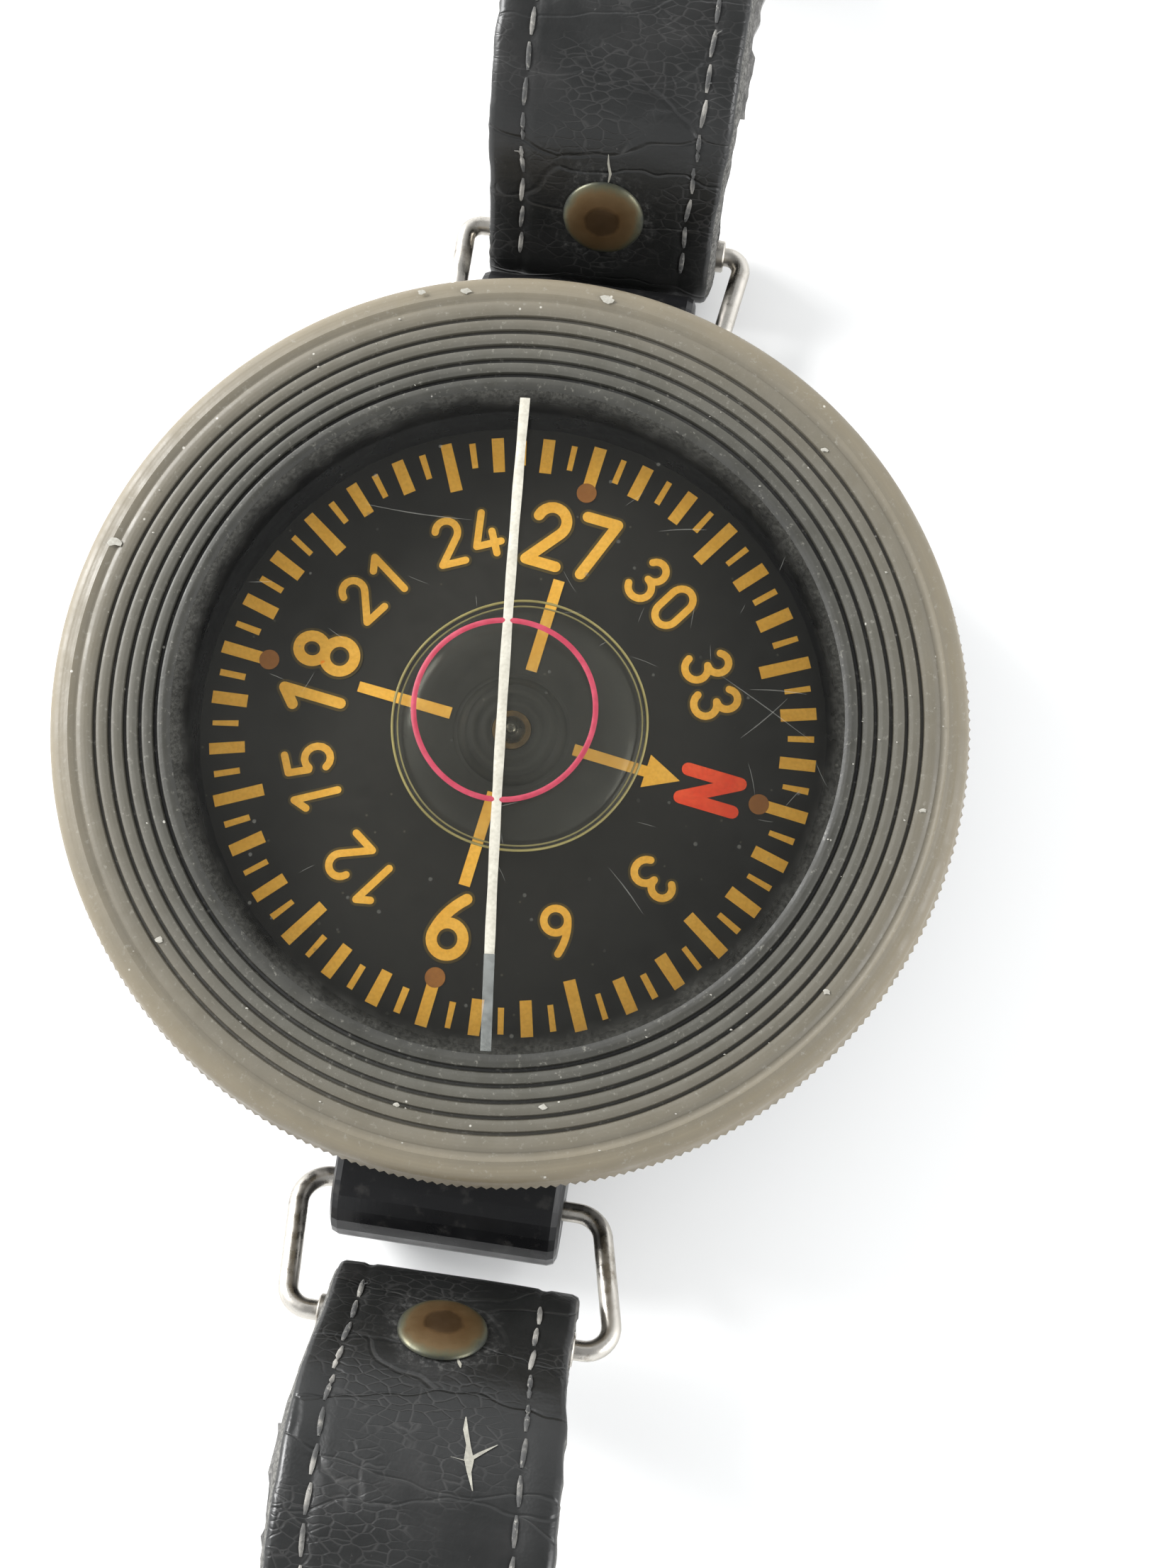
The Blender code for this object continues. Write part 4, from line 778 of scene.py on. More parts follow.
def scratches():
    """Hairline scratches and small chips in the housing's face."""
    rng = random.Random(11)
    bm = bmesh.new()
    lines = [((13.2, 4.2), (19.4, 1.0)), ((15.2, 3.6), (18.8, 3.9)), ((15.0, 0.4), (17.6, 3.4)),
             ((-11.0, 12.2), (-4.0, 12.0)), ((8.0, 13.0), (11.0, 13.6)), ((8.0, -9.0), (10.5, -11.5))]
    for _ in range(26):
        a, r = rng.uniform(0, TAU), rng.uniform(3, 20)
        turn, reach = rng.uniform(0, TAU), rng.uniform(0.6, 2.2)
        start = (r * math.cos(a), r * math.sin(a))
        lines.append((start, (start[0] + reach * math.cos(turn), start[1] + reach * math.sin(turn))))
    for index, (a, b) in enumerate(lines):
        a, b = Vector(a) * MM, Vector(b) * MM
        side = (b - a).normalized().orthogonal()
        half = (0.035 if index < 6 else 0.02) * MM
        bend = rng.uniform(-0.03, 0.03) * (b - a).length
        rows = []
        for k in range(9):
            t = k / 8
            p = a.lerp(b, t) + side * bend * math.sin(math.pi * t)
            w = half * math.sin(math.pi * (0.08 + 0.84 * t))
            row = []
            for sign in (-1, 1):
                q = p + side * w * sign
                row.append(bm.verts.new((q.x, q.y, surface_z(q.length) + 0.03 * MM)))
            rows.append(row)
        for first, second in zip(rows, rows[1:]):
            bridge(bm, first, second, False)
    mesh = finish_mesh(bm, "window_scratches")
    piece("window_scratches", mesh, film_material("scratch_white", (0.4, 0.4, 0.36), 0.22), "capsule")
    bm = bmesh.new()
    chips = [(-26.9, 7.6, 0.42), (2.4, 28.3, 0.4), (-6.9, 27.6, 0.3), (-9.8, 27.1, 0.22), (22.5, -14.6, 0.25),
             (-19.5, -17.4, 0.28), (6.0, -24.2, 0.25), (27.0, -2.4, 0.2), (17.8, 20.1, 0.22),
             (-3.0, -25.4, 0.2)]
    for _ in range(46):
        a, r = rng.uniform(0, TAU), rng.uniform(21.8, 28.4)
        chips.append((r * math.cos(a), r * math.sin(a), rng.uniform(0.03, 0.08)))
    for x, y, size in chips:
        ring = []
        for k in range(9):
            a = TAU * k / 9
            r = size * MM * rng.uniform(0.5, 1.1)
            ring.append(bm.verts.new((x * MM + 1.3 * r * math.cos(a), y * MM + 0.8 * r * math.sin(a),
                                      LAND_Z + 0.2 * MM + 0.02 * MM)))
        top = bm.verts.new((x * MM, y * MM, LAND_Z + 0.2 * MM + 0.06 * MM))
        for k in range(9):
            bm.faces.new((ring[k], ring[(k + 1) % 9], top))
    chip = Surface("chip_white")
    colour = chip.blend(chip.noise(5000, 4), (0.2, 0.185, 0.15), (0.42, 0.41, 0.37))
    rough = chip.varied(chip.noise(3000), 0.2, 0.5)
    material = chip.done(chip.principled(Base_Color=colour, Roughness=rough))
    piece("edge_chips", finish_mesh(bm, "edge_chips"), material, "capsule")


# ---------------------------------------------------------------- card figures

def stroke_arc(cx, cy, rx, ry, start, end, steps=12):
    return [(cx + rx * math.cos(math.radians(start + (end - start) * i / steps)),
             cy + ry * math.sin(math.radians(start + (end - start) * i / steps))) for i in range(steps + 1)]


def six():
    stem = []
    for i in range(9):
        t = i / 8
        x = (1 - t) ** 2 * 0.4 + 2 * t * (1 - t) * 0.09 + t * t * 0.045
        y = (1 - t) ** 2 * 0.96 + 2 * t * (1 - t) * 0.66 + t * t * 0.29
        stem.append((x, y))
    return [stem + stroke_arc(0.29, 0.29, 0.245, 0.25, 180, 540, 24)]


FIGURES = {
    "0": [stroke_arc(0.29, 0.7, 0.24, 0.26, 0, 180) + stroke_arc(0.29, 0.3, 0.24, 0.26, 180, 360)
          + [(0.53, 0.7)]],
    "1": [[(0.1, 0.76), (0.32, 0.96), (0.32, 0.04)]],
    "2": [stroke_arc(0.28, 0.72, 0.235, 0.24, 168, -38) + [(0.05, 0.04), (0.54, 0.04)]],
    "3": [stroke_arc(0.27, 0.74, 0.21, 0.22, 155, -90) + stroke_arc(0.27, 0.28, 0.25, 0.24, 90, -155)],
    "4": [[(0.3, 0.96), (0.05, 0.27), (0.57, 0.27)], [(0.43, 0.52), (0.43, 0.04)]],
    "5": [[(0.5, 0.96), (0.12, 0.96), (0.09, 0.54)] + stroke_arc(0.28, 0.31, 0.25, 0.27, 128, -150)],
    "6": six(),
    "7": [[(0.05, 0.96), (0.54, 0.96), (0.2, 0.04)]],
    "8": [stroke_arc(0.28, 0.735, 0.2, 0.215, 0, 360, 20), stroke_arc(0.28, 0.28, 0.24, 0.24, 0, 360, 24)],
    "9": [[(0.58 - x, 1.0 - y) for x, y in six()[0]]],
    "N": [[(0.05, 0.04), (0.05, 0.96), (0.55, 0.04), (0.55, 0.96)]],
}


def add_stroke(bm, points, half, z):
    """Flat brush stroke with round joints and ends, each dab a hair above the last."""
    points = [Vector(p) for p in points]
    lift = z
    for a, b in zip(points, points[1:]):
        if (b - a).length < 1e-9:
            continue
        side = (b - a).normalized().orthogonal() * half
        quad = [a - side, a + side, b + side, b - side]
        bm.faces.new([bm.verts.new((p.x, p.y, lift)) for p in quad])
        lift += 0.0008 * MM
    for p in points:
        bm.faces.new([bm.verts.new((p.x + half * math.cos(TAU * k / 14),
                                    p.y + half * math.sin(TAU * k / 14), lift)) for k in range(14)])
        lift += 0.0008 * MM


def figure(bm, text, bearing, radius, height, half, z, gap=0.2):
    """Characters centred at that bearing and radius of the card, tops outward."""
    advance = 0.58 + gap
    total = advance * len(text) - gap
    for i, character in enumerate(text):
        for stroke in FIGURES[character]:
            points = []
            for x, y in stroke:
                across = (i * advance + x - total / 2) * height
                out = radius + (y - 0.5) * height
                d = Vector((math.sin(bearing), math.cos(bearing)))
                t = Vector((d.y, -d.x))
                p = d * out + t * across
                points.append((p.x, p.y))
            add_stroke(bm, points, half, z)


def bar_on_card(bm, bearing, inner, outer, half, z, rng):
    """Radial bar, a little uneven."""
    d = Vector((math.sin(bearing), math.cos(bearing)))
    t = Vector((d.y, -d.x))
    jitter = [rng.uniform(-0.04, 0.04) * MM for _ in range(4)]
    corners = [d * inner - t * (half + jitter[0]), d * inner + t * (half + jitter[1]),
               d * outer + t * (half + jitter[2]), d * outer - t * (half + jitter[3])]
    bm.faces.new([bm.verts.new((p.x, p.y, z)) for p in corners])


def dial_figures(bm, z, small_more=0.0, large_more=0.0):
    """The dial's numbers; the last two widen the strokes of the small and the large figures."""
    for text, degrees in (("3", 30), ("6", 60), ("12", 120), ("15", 150), ("21", 210), ("24", 240),
                          ("30", 300), ("33", 330)):
        radius, height, half = SMALL_FIGURES
        figure(bm, text, math.radians(degrees), radius, height, half + small_more, z)
    for text, degrees in (("9", 90), ("18", 180), ("27", 270)):
        radius, height, half = LARGE_FIGURES
        figure(bm, text, math.radians(degrees), radius, height, half + large_more, z, 0.17)


def card_paint():
    """Ticks, figures, cardinal bars and north arrow on the card, in the card's own frame turned to rest."""
    rng = random.Random(4)
    z = CARD_TOP_Z + 0.08 * MM
    hub_z = CARD_TOP_Z + HUB_HEIGHT + 0.02 * MM
    bm = bmesh.new()
    for i in range(72):
        bearing = TAU * i / 72
        if i % 6 == 0:
            bar_on_card(bm, bearing, CARD_RIM - 3.3 * MM, CARD_RIM + 0.1 * MM, 0.42 * MM, z, rng)
        elif i % 2 == 0:
            bar_on_card(bm, bearing, CARD_RIM - 2.4 * MM, CARD_RIM, 0.41 * MM, z, rng)
        else:
            bar_on_card(bm, bearing, CARD_RIM - 1.95 * MM, CARD_RIM - 0.2 * MM, 0.2 * MM, z, rng)
    dial_figures(bm, z)
    for i in range(4):
        bar_on_card(bm, math.pi / 2 * i, 4.3 * MM, (9.4 if i == 0 else 10.8) * MM, 0.37 * MM, z, rng)
    tip = [bm.verts.new((x * MM, y * MM, z + 0.01 * MM))
           for x, y in ((-1.15, 9.35), (1.15, 9.3), (0.0, 11.7))]
    bm.faces.new(tip)
    turn = Matrix.Rotation(-CARD_NORTH, 4, "Z")
    bm.transform(turn)
    # The card's paints carry a painted glow (emission) that stands in for light reaching the card through the
    # clear housing.
    orange = paint_material("figures_orange", (0.8, 0.42, 0.045), (0.86, 0.48, 0.07), (0.6, 0.27, 0.025),
                            0.28)
    piece("card_figures", finish_mesh(bm, "card_figures"), orange, "card")
    bm = bmesh.new()
    figure(bm, "N", 0.0, 13.8 * MM, 3.9 * MM, 0.44 * MM, z)
    bm.transform(turn)
    red = paint_material("north_red", (0.85, 0.06, 0.015), (0.9, 0.1, 0.03), (0.6, 0.045, 0.01), 0.3)
    piece("card_north", finish_mesh(bm, "card_north"), red, "card")
    bm = bmesh.new()
    for i in range(4):
        a = math.pi / 2 * i
        middle = (17.15 * MM * math.sin(a), 17.15 * MM * math.cos(a))
        bm.faces.new([bm.verts.new((middle[0] + 0.68 * MM * math.cos(TAU * k / 24),
                                    middle[1] + 0.68 * MM * math.sin(TAU * k / 24), z + 0.015 * MM))
                      for k in range(24)])
    bm.transform(turn)
    brown = paint_material("dots_brown", (0.34, 0.13, 0.025), (0.42, 0.17, 0.035), (0.25, 0.1, 0.02), 0.15)
    piece("card_dots", finish_mesh(bm, "card_dots"), brown, "card")
    bm = bmesh.new()
    dial_figures(bm, z - 0.06 * MM, 0.17 * MM, 0.19 * MM)
    bm.transform(turn)
    # The dark figure edges carry a faint painted glow as well.
    painted_glow = paint_material("figure_edges", (0.07, 0.05, 0.012), (0.1, 0.07, 0.016), (0.04, 0.03, 0.008), 0.1)
    piece("card_figure_edges", finish_mesh(bm, "card_figure_edges"), painted_glow, "card")
    side = arc((0.0, hub_z), 0.95 * MM, math.radians(60), 0.0, 5)
    pivot = revolve("hub_cap", [(0.0, hub_z + 0.28 * MM)] + side + [(0.0, hub_z)], 40)
    piece("hub_cap", pivot, steel_material("hub_steel", (0.2, 0.19, 0.16), 3.0), "card")


# ---------------------------------------------------------------- straps

class Section:
    def __init__(self, y, z, heading, s):
        self.y = y
        self.z = z
        self.normal = (-math.sin(heading), math.cos(heading))
        self.s = s

    def at(self, offset):
        return self.y + self.normal[0] * offset, self.z + self.normal[1] * offset


def strap_run(side):
    """Sections of the outer leather's middle from above the ring's bar to the end, in the strap's frame."""
    buckle_mid = BUCKLE_WIRE + LOOP_GAP + LEATHER / 2
    under = 2 * buckle_mid if side.sign > 0 else LINING + LAYER_GAP
    flat_z = under + LEATHER / 2 - side.bar_z
    mid = SLEEVE_RADIUS + LOOP_GAP + LEATHER / 2
    state = [-mid * math.sin(STRAP_RISE), mid * math.cos(STRAP_RISE), STRAP_RISE, 0.0]
    sections = [Section(*state)]

    def straight(length, steps):
        for _ in range(steps):
            state[0] += length / steps * math.cos(state[2])
            state[1] += length / steps * math.sin(state[2])
            state[3] += length / steps
            sections.append(Section(*state))

    def bend(radius, turn, steps):
        sign = math.copysign(1.0, turn)
        for _ in range(steps):
            cy = state[0] - sign * radius * math.sin(state[2])
            cz = state[1] + sign * radius * math.cos(state[2])
            state[2] += turn / steps
            state[0] = cy + sign * radius * math.sin(state[2])
            state[1] = cz - sign * radius * math.cos(state[2])
            state[3] += radius * abs(turn) / steps
            sections.append(Section(*state))

    straight(TAIL_MEETS, 8)
    straight(side.straight - TAIL_MEETS, 3)
    bend(side.crest, -(STRAP_RISE + side.fall), 44)
    drop = side.foot * (1 - math.cos(side.fall))
    straight((state[1] - flat_z - drop) / math.sin(side.fall), 12)
    bend(side.foot, side.fall, 24)
    straight(side.flat - TIP_LENGTH, 60)
    straight(TIP_LENGTH, 24)
    return sections


def eased(s, length):
    """Smooth rise from 0 to 1 over that length of strap, from where the folded tail meets it."""
    t = min(max((s - TAIL_MEETS) / length, 0.0), 1.0)
    return t * t * (3 - 2 * t)


def half_width(s):
    return (LOOP_WIDTH + (STRAP_WIDTH - LOOP_WIDTH) * eased(s, WIDEN_LENGTH)) / 2


def drift_at(side, s):
    return side.drift * eased(s, 45 * MM)


def tip_half(s, end, half):
    left = end - s
    if left >= TIP_LENGTH:
        return half
    t = 1 - left / TIP_LENGTH
    return half * math.sqrt(max(1 - (0.94 * t) ** 2, 0.0))


PROFILE_ACROSS = [-1.0, -0.985, -0.94, -0.86, -0.765, -0.725, -0.69, -0.655, -0.6, -0.45, -0.2, 0.0,
                  0.2, 0.45, 0.6, 0.655, 0.69, 0.725, 0.765, 0.86, 0.94, 0.985, 1.0]
EDGE_HEIGHTS = (0.3, -0.15, -0.6)
UNDER_ACROSS = (0.985, 0.9, 0.5, 0.0, -0.5, -0.9, -0.985)


def profile_height(u):
    """Grain side of a strap across its width: rounded edges, a groove at each stitch line, a crown."""
    edge = min((1 - abs(u)) / 0.06, 1.0)
    height = 1.0 - 0.4 * (1 - math.sqrt(max(1 - (1 - edge) ** 2, 0.0)))
    groove = math.exp(-((abs(u) - 0.708) / 0.03) ** 2)
    return height - 0.16 * groove + 0.08 * (1 - u * u)


def leather_band(name, rows, seed, grain=True, ragged=0.1 * MM):
    """Closed band from rows of (middle x, half width, upper (y, z), lower (y, z)), +X edge cut aslant.

    The faces of the cut edges take the second material.
    """
    bm = bmesh.new()
    loops = []
    length = 0.0
    before = None
    for x, half, upper, lower in rows:
        middle = ((upper[0] + lower[0]) / 2, (upper[1] + lower[1]) / 2)
        up = ((upper[0] - lower[0]) / 2, (upper[1] - lower[1]) / 2)
        if before:
            length += math.dist(before, middle)
        before = middle
        wander = [ragged * noise.noise((length * 520, k * 17.3 + seed, 2.0))
                  + 0.6 * ragged * noise.noise((length * 1900, k * 9.1 + seed, 5.0)) for k in (-1, 1)]
        inset = (0.1 * MM, 0.42 * MM + 2.5 * wander[1]) if grain else (0.0, 0.0)
        loop = []

        def corner(u, h, pull=0.0):
            side = 0 if u < 0 else 1
            reach = half * u + (wander[side] * 1.5 - math.copysign(1.0, u) * inset[side] * pull) * abs(u) ** 6
            loop.append(bm.verts.new((x + reach, middle[0] + up[0] * h, middle[1] + up[1] * h)))

        for u in PROFILE_ACROSS:
            if grain:
                swell = 0.05 * noise.noise((u * 2.2 + seed, length * 190, 1.0)) * (1 - u * u)
                corner(u, profile_height(u) + swell, 1.0)
            else:
                corner(u, 1.0 - 0.3 * max(0.0, (abs(u) - 0.93) / 0.07) ** 2)
        for h in EDGE_HEIGHTS:
            corner(1.0, h, 0.5 + 0.5 * h)
        for u in UNDER_ACROSS:
            corner(u, -1.0 + 0.35 * max(0.0, (abs(u) - 0.9) / 0.085) ** 2)
        for h in reversed(EDGE_HEIGHTS):
            corner(-1.0, h, 0.5 + 0.5 * h)
        loops.append(loop)
    top, cut_edge = len(PROFILE_ACROSS), len(EDGE_HEIGHTS)
    for a, b in zip(loops, loops[1:]):
        for k in range(len(a)):
            j = (k + 1) % len(a)
            face = bm.faces.new((a[k], a[j], b[j], b[k]))
            on_edge = top - 1 <= k < top + cut_edge or k >= len(a) - cut_edge - 1
            face.material_index = 1 if grain and on_edge else 0
    for end in (loops[0], loops[-1]):
        bm.faces.new(end).material_index = 1 if grain else 0
    return finish_mesh(bm, name, math.radians(50))


def loop_leave(bar, radius, meets, clockwise):
    dy, dz = meets[0] - bar[0], meets[1] - bar[1]
    spread = math.acos(radius / math.hypot(dy, dz))
    return math.atan2(dz, dy) + (spread if clockwise else -spread)


def strap_rows(side, run):
    length = run[-1].s
    mid = SLEEVE_RADIUS + LOOP_GAP + LEATHER / 2
    offset = LEATHER + LAYER_GAP
    tail = [k for k in run if TAIL_MEETS - 1e-9 <= k.s <= TAIL_LENGTH]
    rows = [(drift_at(side, k.s), LOOP_WIDTH / 2, k.at(-offset - LEATHER / 2), k.at(-offset + LEATHER / 2))
            for k in reversed(tail)]
    start = STRAP_RISE + math.pi / 2
    leave = loop_leave((0.0, 0.0), mid, tail[0].at(-offset), False)
    for i in range(28):
        a = leave + (start - TAU - leave) * i / 28
        ray = (math.cos(a), math.sin(a))
        rows.append((0.0, LOOP_WIDTH / 2, tuple(c * (mid + LEATHER / 2) for c in ray),
                     tuple(c * (mid - LEATHER / 2) for c in ray)))
    for k in run:
        half = half_width(k.s)
        if side.sign < 0:
            half = tip_half(k.s, length, half)
        rows.append((drift_at(side, k.s), half, k.at(LEATHER / 2), k.at(-LEATHER / 2)))
    if side.sign > 0:
        radius = BUCKLE_WIRE + LOOP_GAP + LEATHER / 2
        bar = (run[-1].y, run[-1].z - radius)
        under = [k for k in run if length - TAIL_LENGTH <= k.s <= length - TAIL_MEETS]
        leave = loop_leave(bar, radius, under[-1].at(-offset), True)
        while leave > math.pi / 2:
            leave -= TAU
        for i in range(1, 25):
            a = math.pi / 2 + (leave - math.pi / 2) * i / 24
            ray = (math.cos(a), math.sin(a))
            rows.append((side.drift, STRAP_WIDTH / 2,
                         tuple(b + (radius + LEATHER / 2) * c for b, c in zip(bar, ray)),
                         tuple(b + (radius - LEATHER / 2) * c for b, c in zip(bar, ray))))
        rows += [(side.drift, STRAP_WIDTH / 2, k.at(-offset - LEATHER / 2), k.at(-offset + LEATHER / 2))
                 for k in reversed(under)]
    return rows


def lining_rows(side, run):
    length = run[-1].s
    end = length - TAIL_LENGTH - 1 * MM if side.sign > 0 else length
    rows = []
    for k in run:
        if TAIL_LENGTH + 1 * MM <= k.s <= end:
            half = half_width(k.s) + 0.05 * MM
            if side.sign < 0:
                half = tip_half(k.s, length, half)
            top = -LEATHER / 2 - LAYER_GAP
            rows.append((drift_at(side, k.s) + 0.15 * MM, half, k.at(top), k.at(top - LINING)))
    return rows


def stitches(side, run):
    """Two rows of sunk stitches, with a few frayed ends standing up."""
    rng = random.Random(7 + side.sign)
    bm = bmesh.new()
    length = run[-1].s
    last = length - (TAIL_MEETS + 1 * MM if side.sign > 0 else TIP_LENGTH)

    def point(s, across, lift):
        i = min(range(len(run) - 1), key=lambda n: abs((run[n].s + run[n + 1].s) / 2 - s))
        a, b = run[i], run[i + 1]
        t = (s - a.s) / (b.s - a.s) if b.s > a.s else 0.0
        up = LEATHER / 2 * (profile_height(STITCH_ACROSS)) + lift
        pa, pb = a.at(up), b.at(up)
        half = half_width(s)
        return Vector((drift_at(side, s) + across * half, pa[0] + (pb[0] - pa[0]) * t,
                       pa[1] + (pb[1] - pa[1]) * t))

    for across in (-STITCH_ACROSS, STITCH_ACROSS):
        s = 0.6 * MM
        while s < last:
            wobble = rng.uniform(-0.012, 0.012)
            spine = []
            for k in range(5):
                t = k / 4
                lift = 0.02 * MM + 0.08 * MM * math.sin(math.pi * t)
                spine.append(point(s + STITCH_LENGTH * t, across + wobble * (1 - 2 * t), lift))
            add_thread(bm, spine, 0.17 * MM)
            if rng.random() < 0.22:
                base = spine[rng.randrange(1, 4)]
                lean = Vector((rng.uniform(-1, 1), rng.uniform(-1, 1), 0.35)).normalized()
                reach = rng.uniform(0.35, 0.8) * MM
                middle = base + lean * reach * 0.5 + Vector((0, 0, 0.12 * MM))
                add_thread(bm, [base, middle, base + lean * reach], 0.055 * MM)
            s += STITCH_PITCH
    return finish_mesh(bm, "stitches_" + side.name, math.radians(60))


def add_thread(bm, spine, radius):
    rings = []
    for i, p in enumerate(spine):
        tangent = (spine[min(i + 1, len(spine) - 1)] - spine[max(i - 1, 0)]).normalized()
        normal = tangent.orthogonal().normalized()
        side = tangent.cross(normal)
        share = 0.55 if i in (0, len(spine) - 1) else 1.0
        ray = [normal * math.cos(TAU * k / 6) + side * math.sin(TAU * k / 6) for k in range(6)]
        rings.append([bm.verts.new(p + r * radius * share) for r in ray])
    for a, b in zip(rings, rings[1:]):
        bridge(bm, a, b)
    bm.faces.new(rings[0])
    bm.faces.new(rings[-1])


def worn_marks(side, run):
    """Pale tears in the grain side: a small one at the rivet and, on the holes side, a winged scuff.

    Each stroke is a row of (length along the strap, distance from its middle line, half width), in mm.
    """
    if side.sign > 0:
        strokes = [((7.2, 0.15, 0.03), (7.9, 0.25, 0.1), (8.6, 0.05, 0.08), (9.2, 0.0, 0.02))]
    else:
        strokes = [((10.9, -2.45, 0.03), (11.7, -2.55, 0.16), (12.6, -2.85, 0.14), (13.4, -3.0, 0.3),
                    (14.1, -3.1, 0.14), (15.1, -3.45, 0.03)),
                   ((12.3, -4.6, 0.03), (12.9, -3.7, 0.16), (13.5, -2.9, 0.2), (13.4, -1.9, 0.06)),
                   ((6.9, -1.3, 0.05), (7.3, -1.5, 0.13), (7.6, -1.6, 0.04))]
    bm = bmesh.new()
    for stroke in strokes:
        rows = []
        for s, across, half in stroke:
            near = min(range(len(run) - 1), key=lambda n: abs(run[n].s - s * MM))
            a, b = run[near], run[near + 1]
            share = (s * MM - a.s) / (b.s - a.s)
            up = LEATHER / 2 * 1.1 + 0.04 * MM
            low, high = a.at(up), b.at(up)
            y, z = low[0] + (high[0] - low[0]) * share, low[1] + (high[1] - low[1]) * share
            x = drift_at(side, s * MM) + across * MM
            rows.append([bm.verts.new((x + sign * half * MM, y, z)) for sign in (-1, 1)])
        for first, second in zip(rows, rows[1:]):
            bridge(bm, first, second, False)
    mesh = finish_mesh(bm, "worn_marks_" + side.name)
    mesh.transform(side.strap_place)
    return mesh


def cut(mesh, cutter_meshes):
    """The mesh with each cutter taken out of it."""
    obj = linked("being_cut", mesh)
    cutters = [linked("cutter", cutter) for cutter in cutter_meshes]
    for cutter in cutters:
        modifier = obj.modifiers.new("hole", "BOOLEAN")
        modifier.object = cutter
        modifier.operation = "DIFFERENCE"
        modifier.solver = "EXACT"
    bpy.context.view_layer.update()
    result = bpy.data.meshes.new_from_object(obj.evaluated_get(bpy.context.evaluated_depsgraph_get()))
    for one in [obj] + cutters:
        bpy.data.objects.remove(one)
    return result


def punched(mesh, run, side):
    """Cuts the prong's holes through a strap layer."""
    end = run[-1]
    reach = 4 * MM
    cutters = []
    for i in range(PUNCH_COUNT):
        y = end.y - PUNCH_FROM_TIP - i * PUNCH_PITCH
        top, bottom = end.z + reach, end.z - reach
        outline = [(0.0, top), (PUNCH_RADIUS, top), (PUNCH_RADIUS, bottom), (0.0, bottom)]
        cutter = revolve(f"punch_{i}", outline, 24)
        cutter.transform(Matrix.Translation((side.drift, y, 0)))
        cutters.append(cutter)
    return cut(mesh, cutters)


def slotted(mesh, y, z):
    """Cuts the prong's slot through the fold at the buckle."""
    bm = bmesh.new()
    half = PRONG_RADIUS + PRONG_SLOT_CLEARANCE
    start = y - TAIL_MEETS + 0.3 * MM + half
    outline = [(-half * math.cos(math.pi * k / 8), start - half * math.sin(math.pi * k / 8))
               for k in range(9)]
    outline += [(half, y + 6 * MM), (-half, y + 6 * MM)]
    low = [bm.verts.new((a, b, z - 8 * MM)) for a, b in outline]
    high = [bm.verts.new((a, b, z + 8 * MM)) for a, b in outline]
    bm.faces.new(low)
    bm.faces.new(high)
    bridge(bm, low, high)
    return cut(mesh, [finish_mesh(bm, "slot_cutter")])


def rivet_at(side):
    """Place of the rivet's seat, with the cap's axis along its own +Z."""
    seat = SLEEVE_RADIUS + LOOP_GAP + LEATHER + 0.05 * MM
    return (side.strap_place @ Matrix.Rotation(STRAP_RISE, 4, "X")
            @ Matrix.Translation((0, RIVET_FROM_BAR, seat)))


def keeper(name, body, side, run, from_bar, node):
    """Leather keeper: a soft-edged band round the strap."""
    end = run[-1]
    low = end.z - 1.5 * LEATHER - LAYER_GAP - KEEPER_CLEARANCE
    high = end.z + LEATHER / 2 + LEATHER + LAYER_GAP + LINING + KEEPER_CLEARANCE
    half = STRAP_WIDTH / 2 + KEEPER_CLEARANCE
    t = KEEPER_THICKNESS
    y = end.y - from_bar
    corner = 0.9 * MM
    right, floor, ceiling = half + t / 2, low - t / 2, high + t / 2
    middle = rounded_loop([(-right, floor), (right, floor), (right, ceiling), (-right, ceiling)],
                          [corner] * 4, 8, 10)
    count = len(middle)
    bm = bmesh.new()
    loops = []
    shape = [(-1.0, 0.55), (-0.93, 0.9), (-0.8, 1.0), (-0.3, 1.0), (0.3, 1.0), (0.8, 1.0), (0.93, 0.9),
             (1.0, 0.55), (1.0, -0.6), (0.9, -1.0), (0.0, -1.0), (-0.9, -1.0), (-1.0, -0.6)]
    for i in range(count):
        p = Vector(middle[i])
        tangent = (Vector(middle[(i + 1) % count]) - Vector(middle[i - 1])).normalized()
        out = Vector((tangent.y, -tangent.x))
        loop = []
        for u, h in shape:
            wander = 0.07 * MM * noise.noise((i * 0.35, u * 3.0, from_bar * 900))
            q = p + out * h * t / 2
            loop.append(bm.verts.new((side.drift + q.x, y + u * KEEPER_LENGTH / 2 + wander, q.y)))
        loops.append(loop)
    for i in range(count):
        bridge(bm, loops[i], loops[(i + 1) % count])
    mesh = finish_mesh(bm, name, math.radians(55))
    mesh.transform(side.strap_place)
    piece(name, mesh, leather_material(name + "_leather", []), body, [node])


